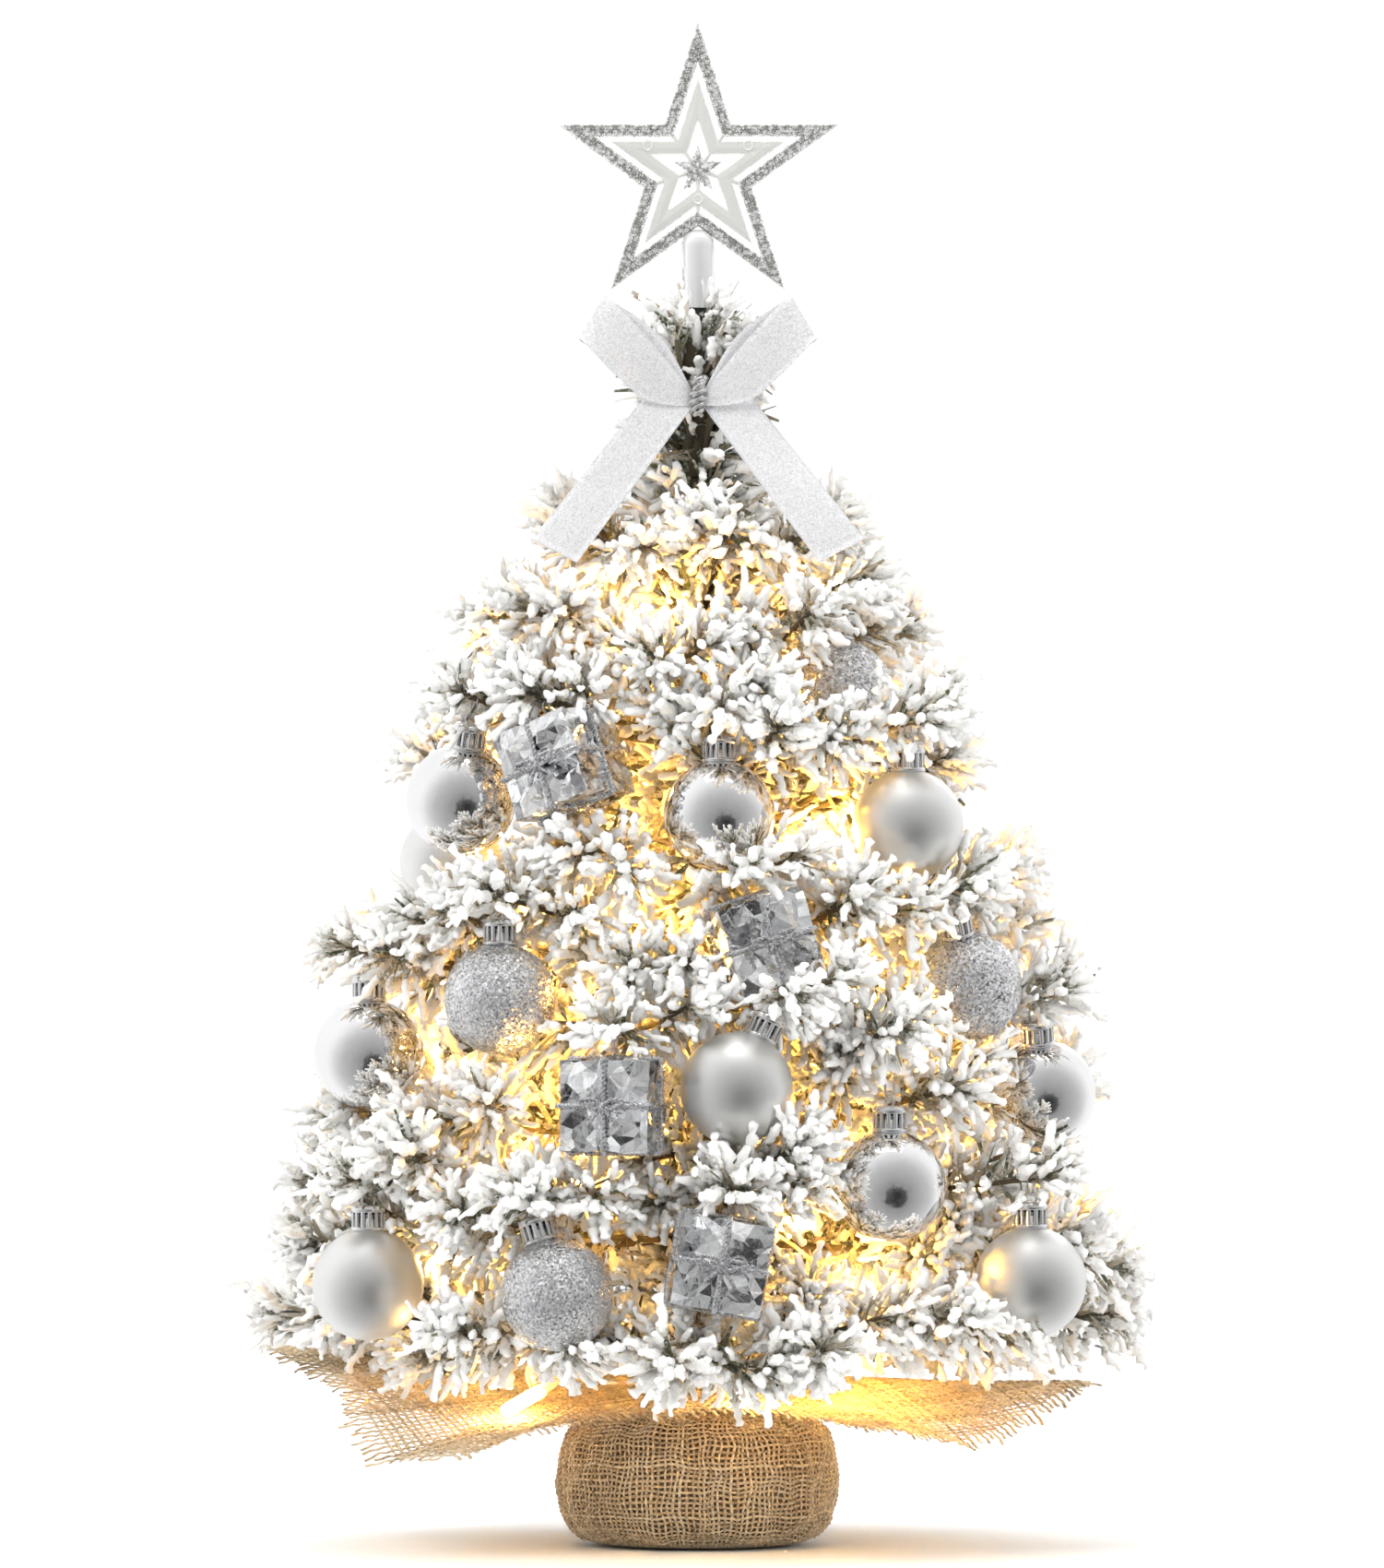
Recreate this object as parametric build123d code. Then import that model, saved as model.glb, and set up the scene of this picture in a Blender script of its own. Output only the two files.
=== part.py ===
from build123d import *
import math
import os

os.makedirs("parts", exist_ok=True)

# Tabletop tree. Origin: centre of the base on the table, +Z up the trunk, -Y is the front.
# Azimuths are in degrees from the front (-Y), positive towards +X.

BASE_R = 52.5
BASE_H = 46.0
CLOTH_T = 1.6
NECK_R = 17.0
NECK_Z = 57.0
WEIGHT_R = 44.0
WEIGHT_H = 33.0
TRUNK_R = 5.0
TRUNK_TOP = 449.0
SLEEVE_R = 6.6
ROOT_R = 6.9
STAGGER = 4.0
RUN_GAP = 0.06
WIRE_R = 1.2
NEEDLE_R = 4.0
BALL_R = 20.0
BALL_WALL = 1.0
CAP_R = 6.0
CAP_TOP = 28.5
EYE_Z = 30.2
STAR_Z = 506.5
STAR_R = 54.5
STAR_T = 3.4
NOTCH = 0.382
SOCKET_R = 6.3
SOCKET_BORE = 5.1
SOCKET_Z0 = 455.0
SOCKET_Z1 = 484.5
LIGHT_R = 0.75
BULB_R = 2.7
BULB_L = 22.0

# tiers: name, sleeve bottom, sleeve top, root height, [(azimuth, reach, tip height)]
TIERS = [
    ("branches_tier_1", 66.0, 84.0, 75.0,
     [(-37, 146, 82), (-4, 140, 72), (18, 142, 76), (40, 146, 88)]),
    ("branches_tier_2", 84.5, 126.0, 112.0,
     [(-70, 148, 112), (-38, 140, 124), (16, 128, 136), (66, 146, 112), (105, 146, 118),
      (142, 142, 122), (166, 144, 121), (-142, 144, 120), (-105, 148, 116)]),
    ("branches_tier_3", 126.5, 186.0, 152.0,
     [(-50, 132, 158), (8, 122, 141), (46, 128, 168), (88, 134, 170), (124, 132, 166),
      (146, 134, 174), (-162, 132, 166), (-124, 134, 172), (-92, 132, 158)]),
    ("branches_tier_4", 186.5, 246.0, 214.0,
     [(-60, 118, 228), (-13, 108, 210), (30, 114, 236), (74, 116, 246), (100, 120, 228),
      (128, 118, 236), (176, 120, 226), (-146, 118, 236), (-106, 120, 226)]),
    ("branches_tier_5", 246.5, 296.0, 262.0,
     [(-28, 98, 252), (18, 96, 298), (74, 94, 288), (112, 98, 286), (154, 98, 296),
      (-164, 98, 284), (-118, 98, 294)]),
    ("branches_tier_6", 296.5, 342.0, 316.0,
     [(-52, 78, 342), (-12, 74, 322), (34, 74, 340), (98, 76, 338), (140, 76, 346),
      (-176, 76, 336), (-132, 76, 346), (-92, 78, 338)]),
    ("branches_tier_7", 342.5, 392.0, 356.0,
     [(-32, 52, 366), (14, 48, 372), (72, 50, 376), (126, 50, 370), (178, 50, 380),
      (-128, 50, 370), (-78, 50, 378)]),
]

# bottom branches that bend by hand: name, azimuth
BENDING = [
    ("bottom_branch_right", 84),
    ("bottom_branch_back_right", 130),
    ("bottom_branch_back", 178),
    ("bottom_branch_back_left", -134),
    ("bottom_branch_left", -84),
]
BEND_ROOT_R = 8.6
BEND_ROOT_Z = 75.0
BEND_REACH = 155.0
BEND_TIP_Z = 86.0

# hanging ornaments: name, kind, centre, lean in degrees (positive leans the cap to its own
# right, seen from outside), gap between eye and twig, tier that carries it
BALLS = [
    ("shiny_ball_1", (-85.9, -50.0, 272.2), 16, 7, "branches_tier_5"),
    ("shiny_ball_2", (-119.6, -40.0, 180.0), 0, 6, "branches_tier_4"),
    ("shiny_ball_3", (7.6, -80.0, 265.6), 0, 6, "branches_tier_5"),
    ("shiny_ball_4", (125.0, -30.0, 165.7), -18, 6, "branches_tier_4"),
    ("shiny_ball_5", (68.0, -105.0, 133.1), 0, 24, "branches_tier_3"),
    ("matte_ball_1", (75.6, -68.0, 262.5), 0, 6, "branches_tier_5"),
    ("matte_ball_2", (13.5, -121.0, 168.0), 26, 6, "branches_tier_4"),
    ("matte_ball_3", (-118.2, -80.0, 97.6), 0, 6, "branches_tier_3"),
    ("matte_ball_4", (119.0, -80.0, 98.5), 0, 6, "branches_tier_3"),
    ("matte_ball_5", (-90.0, 6.0, 250.5), 0, 6, "branches_tier_5"),
    ("glitter_ball_1", (51.0, -22.0, 312.4), 0, 5, "branches_tier_6"),
    ("glitter_ball_2", (-70.8, -90.0, 199.8), 0, 6, "branches_tier_4"),
    ("glitter_ball_3", (96.9, -60.0, 204.5), -20, 5, "branches_tier_4"),
    ("glitter_ball_4", (-49.8, -125.0, 95.3), -18, 6, "branches_tier_3"),
    ("shiny_ball_6", (66.0, 92.0, 196.0), 0, 6, "branches_tier_4"),
    ("matte_ball_6", (-78.0, 104.0, 150.0), 0, 6, "branches_tier_4"),
    ("glitter_ball_5", (-40.0, 78.0, 258.0), 0, 6, "branches_tier_5"),
]
BOX = 32.0
BOX_EYE = 20.5
GIFTS = [
    ("gift_box_1", (-48.2, -75.0, 283.8), -20, 5, "branches_tier_6"),
    ("gift_box_2", (22.7, -94.0, 220.0), -17, 5, "branches_tier_4"),
    ("gift_box_3", (-29.5, -122.0, 161.8), 0, 5, "branches_tier_4"),
    ("gift_box_4", (7.4, -128.0, 106.0), 10, 5, "branches_tier_3"),
    ("gift_box_5", (22.0, 110.0, 152.0), 0, 5, "branches_tier_3"),
]


def polar(azimuth, reach, height):
    a = math.radians(azimuth)
    return Vector(reach * math.sin(a), -reach * math.cos(a), height)


def azimuth_of(x, y):
    return math.degrees(math.atan2(x, -y))


def rod(start, end, radius):
    axis = end - start
    plane = Plane(origin=start, z_dir=axis)
    return plane * Cylinder(radius, axis.length, align=(Align.CENTER, Align.CENTER, Align.MIN))


def branch(start, end, bare):
    # twisted wire with a spindle of dense needles; `bare` mm at the tip is plain wire
    axis = end - start
    plane = Plane(origin=start, z_dir=axis)
    length = axis.length
    full = length - bare
    wire = Cylinder(WIRE_R, length, align=(Align.CENTER, Align.CENTER, Align.MIN))
    rise = Pos(0, 0, 0.42 * full) * Cone(
        WIRE_R, NEEDLE_R, 0.3 * full, align=(Align.CENTER, Align.CENTER, Align.MIN)
    )
    fall = Pos(0, 0, 0.72 * full) * Cone(
        NEEDLE_R, 2.0, 0.28 * full, align=(Align.CENTER, Align.CENTER, Align.MIN)
    )
    return plane * (wire + rise + fall)


def hang_frame(centre, lean, arm):
    # the twig that the loop goes over is level and points outward at the hanging point
    azimuth = azimuth_of(centre[0], centre[1])
    out = polar(azimuth, 1, 0)
    side = Vector(math.cos(math.radians(azimuth)), math.sin(math.radians(azimuth)), 0)
    t = math.radians(lean)
    up = side * math.sin(t) + Vector(0, 0, math.cos(t))
    hang = Vector(*centre) + up * arm
    return out, up, hang


def thread_loop(bottom, top):
    # a flat closed loop in the XZ plane, standing on Z, 3.6 mm wide inside
    half = (top - bottom) / 2
    middle = (top + bottom) / 2
    outer = SlotOverall(2 * half + 5.0, 5.0, rotation=90)
    inner = SlotOverall(2 * half + 3.6, 3.6, rotation=90)
    ring = extrude(Plane.XZ * (outer - inner), 0.4, both=True)
    return Pos(0, 0, middle) * ring


def place(centre, lean):
    # local +Z is the hanging direction, local -Y points outward
    out, up, hang = hang_frame(centre, lean, 1)
    return Plane(origin=Vector(*centre), x_dir=(out * -1).cross(up), z_dir=up)


def ball(centre, lean, gap):
    shell = Sphere(BALL_R) - Sphere(BALL_R - BALL_WALL)
    bore = Pos(0, 0, BALL_R) * Cylinder(4.0, 12)
    neck = Pos(0, 0, 18.9) * (
        Cylinder(5.0, 4.2, align=(Align.CENTER, Align.CENTER, Align.MIN))
        - Cylinder(4.0, 9.0, align=(Align.CENTER, Align.CENTER, Align.CENTER))
    )
    shell = shell - bore + neck
    cap = Pos(0, 0, 19.5) * Cylinder(
        CAP_R, CAP_TOP - 19.5, align=(Align.CENTER, Align.CENTER, Align.MIN)
    )
    cap = cap - Pos(0, 0, 15) * Cylinder(
        5.2, CAP_TOP - 15.8, align=(Align.CENTER, Align.CENTER, Align.MIN)
    )
    eye = Pos(0, 0, EYE_Z) * Rot(0, 90, 0) * Torus(2.6, 0.5)
    cap = cap + eye - Pos(0, 0, 20) * Cylinder(5.1, 2 * (CAP_TOP - 20.9))
    loop = thread_loop(EYE_Z + 1.2, EYE_Z + gap + 3.0)
    frame = place(centre, lean)
    return Compound(children=[frame * s for piece in (shell, cap, loop) for s in piece.solids()])


def gift(centre, lean, gap):
    h = BOX / 2
    body = fillet(Box(BOX, BOX, BOX).edges(), 1.6)
    band = Box(BOX + 2.4, 1.6, BOX + 2.4) - Box(BOX + 0.1, 9, BOX + 0.1)
    band = band + (Box(1.6, BOX + 2.4, BOX + 2.4) - Box(9, BOX + 0.1, BOX + 0.1))
    knot = Pos(0, 0, h + 2.6) * Sphere(2.4)
    bows = extrude(Plane.XZ * (SlotOverall(22, 7) - SlotOverall(20, 5)), 1.2, both=True)
    cord = band + knot + Pos(0, 0, h + 5.0) * bows
    cord = cord - Box(BOX + 0.1, BOX + 0.1, BOX + 0.1)
    eye = Pos(0, 0, h + 6.0) * Rot(0, 90, 0) * Torus(2.4, 0.5)
    cord = cord + eye
    loop = thread_loop(h + 7.6, BOX_EYE + gap + 3.0 + 1.2)
    frame = place(centre, lean)
    return Compound(children=[frame * s for piece in (body, cord, loop) for s in piece.solids()])


def save(shape, name):
    export_step(shape, "parts/" + name + ".step")


# base
weight = Pos(0, 0, CLOTH_T + 0.3) * Cylinder(
    WEIGHT_R, WEIGHT_H, align=(Align.CENTER, Align.CENTER, Align.MIN)
)
weight = fillet(weight.edges(), 9)
weight = weight - Pos(0, 0, 10) * Cylinder(
    TRUNK_R + RUN_GAP, 60, align=(Align.CENTER, Align.CENTER, Align.MIN)
)
save(weight, "base_weight")

# jute bag: outer profile, then the same profile inset by the cloth
bag_outer = [
    (0, 0), (38, 0), (46, 3.5), (51, 11), (BASE_R, 22), (51.5, 36), (46, BASE_H - 1),
    (34, 50.5), (NECK_R + 1, 54.0), (NECK_R, NECK_Z),
]
bag_inner = [
    (0, CLOTH_T), (37.4, CLOTH_T), (44.9, 4.8), (49.5, 11.6), (BASE_R - CLOTH_T, 22),
    (50.0, 35.4), (45.0, BASE_H - 2.6), (33.2, 48.9), (NECK_R - 0.4, 52.3),
    (NECK_R - CLOTH_T, NECK_Z),
]
bag = revolve(make_face(Plane.XZ * Polyline(*(bag_outer + [(0, NECK_Z)]), close=True)), Axis.Z)
bag = bag - revolve(
    make_face(Plane.XZ * Polyline(*(bag_inner + [(0, NECK_Z)]), close=True)), Axis.Z
)
save(bag, "burlap_bag")

# collar: the four corners of the jute square, flaring out from the neck.
# Each flap: corner azimuth, corner reach, corner height, half width at the widest
FLAPS = [(-106, 162, 64, 48), (-52, 150, 34, 52), (82, 146, 58, 60), (40, 112, 40, 52),
         (132, 140, 44, 60), (-150, 138, 42, 60), (-10, 74, 52, 44)]


def flap(azimuth, reach, height, half):
    start = polar(azimuth, NECK_R - 2.0, NECK_Z + 4.0)
    end = polar(azimuth, reach, height)
    middle = (start + end) * 0.5
    slope = math.degrees(math.atan2(start.Z - end.Z, reach - NECK_R))
    length = (end - start).length
    shape = Polyline(
        (0, -13), (0.55 * length, -half), (length, -5), (length, 5), (0.55 * length, half),
        (0, 13), close=True
    )
    plate = extrude(make_face(shape), 1.0, both=True)
    turn = azimuth - 90
    return Pos(start.X, start.Y, start.Z) * Rot(0, 0, turn) * Rot(0, slope, 0) * plate


collar = Pos(0, 0, NECK_Z + 4.0) * Cylinder(NECK_R + 1.0, 7.0)
for item in FLAPS:
    collar = collar + flap(*item)
collar = collar - Pos(0, 0, NECK_Z - 50) * Cylinder(
    NECK_R + 0.3, 52.6, align=(Align.CENTER, Align.CENTER, Align.MIN)
)
collar = collar - Pos(0, 0, NECK_Z) * Cylinder(
    NECK_R - CLOTH_T, 40, align=(Align.CENTER, Align.CENTER, Align.CENTER)
)
lead_slit = polar(163, 67, 56)
collar = collar - Pos(lead_slit.X, lead_slit.Y, lead_slit.Z) * Cylinder(6.0, 50)
save(collar, "burlap_collar")

twine = Pos(0, 0, NECK_Z - 0.2) * (Torus(NECK_R + 1.6, 1.2) + Pos(0, 0, -2.0) * Torus(NECK_R + 2.4, 1.1))
twine = twine - collar
twine = twine - bag
save(twine, "neck_twine")

trunk = Pos(0, 0, 10.1) * Cylinder(
    TRUNK_R, TRUNK_TOP - 10.1, align=(Align.CENTER, Align.CENTER, Align.MIN)
)
post = Pos(0, 0, TRUNK_TOP) * Cylinder(3.2, 22.0, align=(Align.CENTER, Align.CENTER, Align.MIN))
save(trunk + post, "trunk_pole")

# branches
carried = {}
for name, centre, lean, gap, tier in BALLS:
    out, up, hang = hang_frame(centre, lean, EYE_Z + gap + 1.2)
    carried.setdefault(tier, []).append((hang, out))
for name, centre, lean, gap, tier in GIFTS:
    out, up, hang = hang_frame(centre, lean, BOX_EYE + gap + 1.2)
    carried.setdefault(tier, []).append((hang, out))

for name, low, high, root_z, tips in TIERS:
    sleeve = Pos(0, 0, low) * (
        Cylinder(SLEEVE_R, high - low, align=(Align.CENTER, Align.CENTER, Align.MIN))
    )
    sleeve = sleeve - Pos(0, 0, low - 5) * Cylinder(
        TRUNK_R + RUN_GAP, high - low + 10, align=(Align.CENTER, Align.CENTER, Align.MIN)
    )
    limbs = []
    for k, (azimuth, reach, tip_z) in enumerate(tips):
        root = root_z + STAGGER * (k % 3 - 1)
        limbs.append(branch(polar(azimuth, ROOT_R, root), polar(azimuth, reach, tip_z), 0))
    for hang, out in carried.get(name, []):
        reach = math.hypot(hang.X, hang.Y)
        root = min(max(hang.Z - 0.12 * reach, low + 2), high - 2)
        start = Vector(out.X * ROOT_R, out.Y * ROOT_R, root)
        slope = (hang - start).normalized()
        limbs.append(branch(start, hang + slope * 9.0, 24.0))
    limbs = [limb - sleeve for limb in limbs]
    save(Compound(children=sleeve.solids() + [x for limb in limbs for x in limb.solids()]), name)

for name, azimuth in BENDING:
    start = polar(azimuth, BEND_ROOT_R, BEND_ROOT_Z)
    limb = branch(start, polar(azimuth, BEND_REACH, BEND_TIP_Z), 0)
    limb = limb + Pos(start.X, start.Y, start.Z) * Sphere(1.5)
    save(limb, name)

leader = Pos(0, 0, 392.5) * Cylinder(
    SLEEVE_R, 57.0, align=(Align.CENTER, Align.CENTER, Align.MIN)
)
twigs = []
for k in range(8):
    azimuth = 22 + 45 * k
    base = polar(azimuth, ROOT_R, 398 + 5 * (k % 3))
    twigs.append(rod(base, polar(azimuth, 23, 440 + 6 * (k % 2)), 1.6) - leader)
leader = leader - Pos(0, 0, 380) * Cylinder(
    TRUNK_R + RUN_GAP, 80, align=(Align.CENTER, Align.CENTER, Align.MIN)
)
save(Compound(children=leader.solids() + [x for t in twigs for x in t.solids()]), "treetop_leader")


# star topper
def star_points(radius):
    points = []
    for k in range(10):
        r = radius if k % 2 == 0 else radius * NOTCH
        a = math.radians(90 + 36 * k)
        points.append((r * math.cos(a), r * math.sin(a)))
    return points


def star_plate(radius, thickness):
    face = make_face(Plane.XZ * Polyline(*star_points(radius), close=True))
    return extrude(face, thickness / 2, both=True)


outer_star = star_plate(STAR_R, STAR_T) - star_plate(STAR_R - 14.0, 9)
middle_star = star_plate(STAR_R - 21.0, STAR_T) - star_plate(STAR_R - 36.0, 9)
heart_star = star_plate(9.0, STAR_T)
star = outer_star + middle_star + heart_star
for k in range(5):
    a = math.radians(54 + 72 * k)
    inner = Vector(2.5 * math.cos(a), 0, 2.5 * math.sin(a))
    outer = Vector(17.5 * math.cos(a), 0, 17.5 * math.sin(a))
    star = star + rod(inner, outer, 0.8)
star = Pos(0, 0, STAR_Z) * star
save(star, "star_frame")

socket_h = SOCKET_Z1 - SOCKET_R - SOCKET_Z0
socket = Pos(0, 0, SOCKET_Z0) * Cylinder(
    SOCKET_R, socket_h, align=(Align.CENTER, Align.CENTER, Align.MIN)
)
socket = socket + Pos(0, 0, SOCKET_Z0 + socket_h) * Sphere(SOCKET_R)
socket = socket - Pos(0, 0, SOCKET_Z0 - 1) * Cylinder(
    SOCKET_BORE, socket_h + 2, align=(Align.CENTER, Align.CENTER, Align.MIN)
)
socket = socket - star
save(socket, "star_socket")

# ribbon bow, tied to the front of the leader
BOW_Y = -28.0
BOW_Z = 421.0


def bow_loop(side):
    band = SlotOverall(50, 15) - SlotOverall(48.4, 13.4)
    strip = extrude(band, 8.0, both=True)
    # slot length along X, its width along Y, ribbon width along Z, then tilted
    if side < 0:
        return Pos(-23, BOW_Y, BOW_Z + 16) * Rot(0, 38, 0) * strip
    return Pos(23, BOW_Y, BOW_Z + 16) * Rot(0, -38, 0) * strip


def bow_tail(side):
    start = Vector(side * 5, BOW_Y - 3, BOW_Z - 6)
    end = Vector(side * 52, BOW_Y - 22, BOW_Z - 58)
    middle = (start + end) * 0.5
    axis = end - start
    plane = Plane(origin=middle, x_dir=axis, z_dir=Vector(-axis.Z * 0.2, -1, 0).cross(axis).cross(axis))
    return plane * Box(axis.length, 16, 0.8)


loops = Compound(children=[bow_loop(-1), bow_loop(1)])
core = Pos(0, BOW_Y, BOW_Z) * Cylinder(5.0, 26)
loop_solids = []
for side in (-1, 1):
    cut = bow_loop(side) - core
    if side < 0:
        cut = cut - Pos(50, BOW_Y, BOW_Z) * Box(100, 80, 120)
    else:
        cut = cut - Pos(-50, BOW_Y, BOW_Z) * Box(100, 80, 120)
    loop_solids += cut.solids()
save(Compound(children=loop_solids), "bow_loops")
tail_solids = []
for side in (-1, 1):
    tail_solids += (bow_tail(side) - core - Compound(children=loop_solids)).solids()
save(Compound(children=tail_solids), "bow_tails")
tie = Pos(0, BOW_Y, BOW_Z) * Cylinder(3.0, 13)
hook = rod(Vector(0, BOW_Y, BOW_Z), Vector(0, -SLEEVE_R - 0.4, BOW_Z), 0.8)
ring = Pos(0, 0, BOW_Z) * (Torus(SLEEVE_R + 1.0, 0.8))
tie_shape = tie + hook + ring
save(tie_shape, "bow_tie_wire")

# light string: azimuth, radius, height, bulb direction (azimuth, rise) or None
LIGHT_ROUTE = [
    (178, 62, 24, None), (170, 70, 50, None), (150, 62, 66, None), (118, 50, 68, None),
    (86, 44, 64, None), (50, 52, 66, (40, 12)), (14, 54, 63, (8, -10)), (-16, 56, 61, None),
    (-46, 70, 62, (-43, -20)), (-66, 74, 84, None), (-60, 78, 104, (-62, 5)),
    (-34, 72, 122, None), (-28, 70, 134, (-25, 5)), (-2, 70, 122, None), (22, 72, 118, (20, 5)),
    (42, 70, 100, (37, -10)), (66, 72, 118, None), (92, 72, 132, (95, 0)), (120, 72, 138, None),
    (150, 70, 146, (150, 0)), (178, 70, 152, None), (-152, 68, 158, (-150, 0)),
    (-122, 68, 164, None), (-94, 66, 172, (-90, 5)), (-66, 64, 184, None), (-40, 58, 198, None),
    (-14, 54, 196, (-12, 10)), (14, 56, 188, None), (42, 60, 184, (56, 0)),
    (74, 64, 178, (80, -5)), (104, 62, 190, None), (134, 60, 202, (132, 0)), (166, 58, 210, None),
    (-162, 56, 216, (-165, 0)), (-128, 54, 222, None), (-94, 52, 226, (-92, 0)),
    (-60, 48, 226, (-53, 0)), (-26, 44, 230, (-14, 0)), (8, 42, 240, None), (40, 40, 256, (46, 5)),
    (76, 42, 268, None), (114, 44, 274, (112, 0)), (154, 42, 280, None), (-164, 42, 286, (-162, 0)),
    (-120, 40, 292, None), (-78, 36, 298, (-80, 5)), (-34, 30, 312, None), (-20, 24, 332, (-22, 5)),
    (40, 24, 346, None), (90, 26, 352, (92, 5)), (150, 24, 362, (148, 5)),
]
light_points = [polar(a, r, z) for a, r, z, b in LIGHT_ROUTE]


def bend_radii(points, share):
    radii = []
    for k in range(1, len(points) - 1):
        before = points[k] - points[k - 1]
        after = points[k + 1] - points[k]
        turn = math.radians(before.get_angle(after))
        radii.append(share * min(before.length, after.length) / math.tan(turn / 2))
    return radii


light_radii = bend_radii(light_points, 0.45)
light_path = FilletPolyline(*light_points, radius=light_radii)
light = sweep(Plane(origin=light_path @ 0, z_dir=light_path % 0) * Circle(LIGHT_R), path=light_path)
print("light radii", [round(r, 1) for r in light_radii])
print("light length", round(light_path.length, 1))
print("light volume ratio", round(light.volume / (light_path.length * math.pi * LIGHT_R ** 2), 4))
save(light, "light_wire")

bulbs = []
for azimuth, radius, height, aim in LIGHT_ROUTE:
    if aim is None:
        continue
    heading = polar(aim[0], math.cos(math.radians(aim[1])), math.sin(math.radians(aim[1])))
    start = polar(azimuth, radius, height) + heading * 1.0
    stem = rod(start, start + heading * 8.0, 1.5)
    bulbs.append(stem + rod(start + heading * 8.0, start + heading * (8.0 + BULB_L), BULB_R))
print("bulbs", len(bulbs))
save(Compound(children=[s for b in bulbs for s in b.solids()]), "led_bulbs")

# battery case, flat on the table behind the bag
CASE_X = 68.0
CASE_Y = 48.0
CASE_H = 19.0
CASE_Y0 = 60.0
WALL = 1.4
CELL_R = 7.1
CELL_L = 50.0
case_mid = CASE_Y0 + CASE_Y / 2
case = Pos(0, case_mid, CASE_H / 2) * fillet(Box(CASE_X, CASE_Y, CASE_H).edges().filter_by(Axis.Z), 3)
case = case - Pos(0, case_mid, CASE_H / 2 + WALL) * Box(CASE_X - 2 * WALL, CASE_Y - 2 * WALL, CASE_H)
bin_wall = Pos(24.6, case_mid, 8.0) * Box(1.2, CASE_Y - 2 * WALL, 13.0)
case = case + bin_wall
case = case - Pos(CASE_X / 2, case_mid, 9.0) * Box(6, 10, 4.2)
case = case - Pos(0, CASE_Y0, 9.0) * Box(3.2, 6, 3.2)
groove = Pos(0, case_mid, CASE_H - 1.6) * Box(CASE_X - 1.2, CASE_Y + 6, 1.8)
case = case - groove
# the end lip is open in the middle, so that the door's finger ridges pass through it
case = case - Pos(0, CASE_Y0 + CASE_Y, CASE_H) * Box(22, 8, 2.8)
save(case, "battery_case")
door = Pos(0, case_mid + 0.9, CASE_H - 1.6) * Box(CASE_X - 1.8, CASE_Y - 1.0, 1.2)
for k in range(4):
    door = door + Pos(0, case_mid + 10 + 3 * k, CASE_H - 0.9) * Box(18, 1.2, 0.6)
save(door, "battery_door")
cells = []
for k in (-1, 0, 1):
    centre = Pos(-5.0, case_mid + 14.6 * k, WALL + CELL_R + 0.2)
    cell = centre * Rot(0, 90, 0) * Cylinder(CELL_R, CELL_L)
    nub = centre * Pos(CELL_L / 2 + 0.5, 0, 0) * Rot(0, 90, 0) * Cylinder(2.7, 1.0)
    cells.append(cell + nub)
save(Compound(children=cells), "battery_cells")
contacts = []
for k in (-1, 0, 1):
    y = case_mid + 14.6 * k
    z = WALL + CELL_R + 0.2
    contacts.append(Pos(-32.1, y, z) * Box(0.8, 10, 10))
    contacts.append(Pos(22.9, y, z) * Box(0.8, 10, 10))
    contacts.append(Pos(-30.85, y, z) * Rot(0, 90, 0) * (Cylinder(3.2, 1.6) - Cylinder(2.2, 3)))
save(Compound(children=contacts), "battery_contacts")
switch = Pos(CASE_X / 2 + 0.6, case_mid - 2.4, 9.0) * Box(2.4, 4.0, 3.4)
switch = switch + Pos(CASE_X / 2 - 2.3, case_mid - 2.4, 9.0) * Box(1.2, 4.0, 7.0)
switch = switch + Pos(CASE_X / 2 - 0.9, case_mid - 2.4, 9.0) * Box(2.4, 4.0, 3.4)
save(switch, "power_switch")

for name, centre, lean, gap, tier in BALLS:
    save(ball(centre, lean, gap), name)
for name, centre, lean, gap, tier in GIFTS:
    save(gift(centre, lean, gap), name)
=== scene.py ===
import math
import bpy
import numpy as np
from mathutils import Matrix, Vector, noise


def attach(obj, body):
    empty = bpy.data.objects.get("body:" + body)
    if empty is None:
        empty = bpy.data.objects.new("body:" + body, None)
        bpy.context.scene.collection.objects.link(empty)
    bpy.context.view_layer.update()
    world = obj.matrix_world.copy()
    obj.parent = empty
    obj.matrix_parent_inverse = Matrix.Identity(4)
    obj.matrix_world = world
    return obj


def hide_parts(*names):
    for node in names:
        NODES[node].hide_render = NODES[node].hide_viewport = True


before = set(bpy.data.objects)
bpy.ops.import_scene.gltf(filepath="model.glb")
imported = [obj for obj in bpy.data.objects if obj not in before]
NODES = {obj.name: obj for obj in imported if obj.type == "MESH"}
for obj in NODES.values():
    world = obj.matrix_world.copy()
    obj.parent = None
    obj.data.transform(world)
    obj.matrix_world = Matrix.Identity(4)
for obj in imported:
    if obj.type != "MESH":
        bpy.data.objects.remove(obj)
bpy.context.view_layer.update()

MM = 0.001
rng = np.random.default_rng(20)
noise.seed_set(20)

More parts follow.
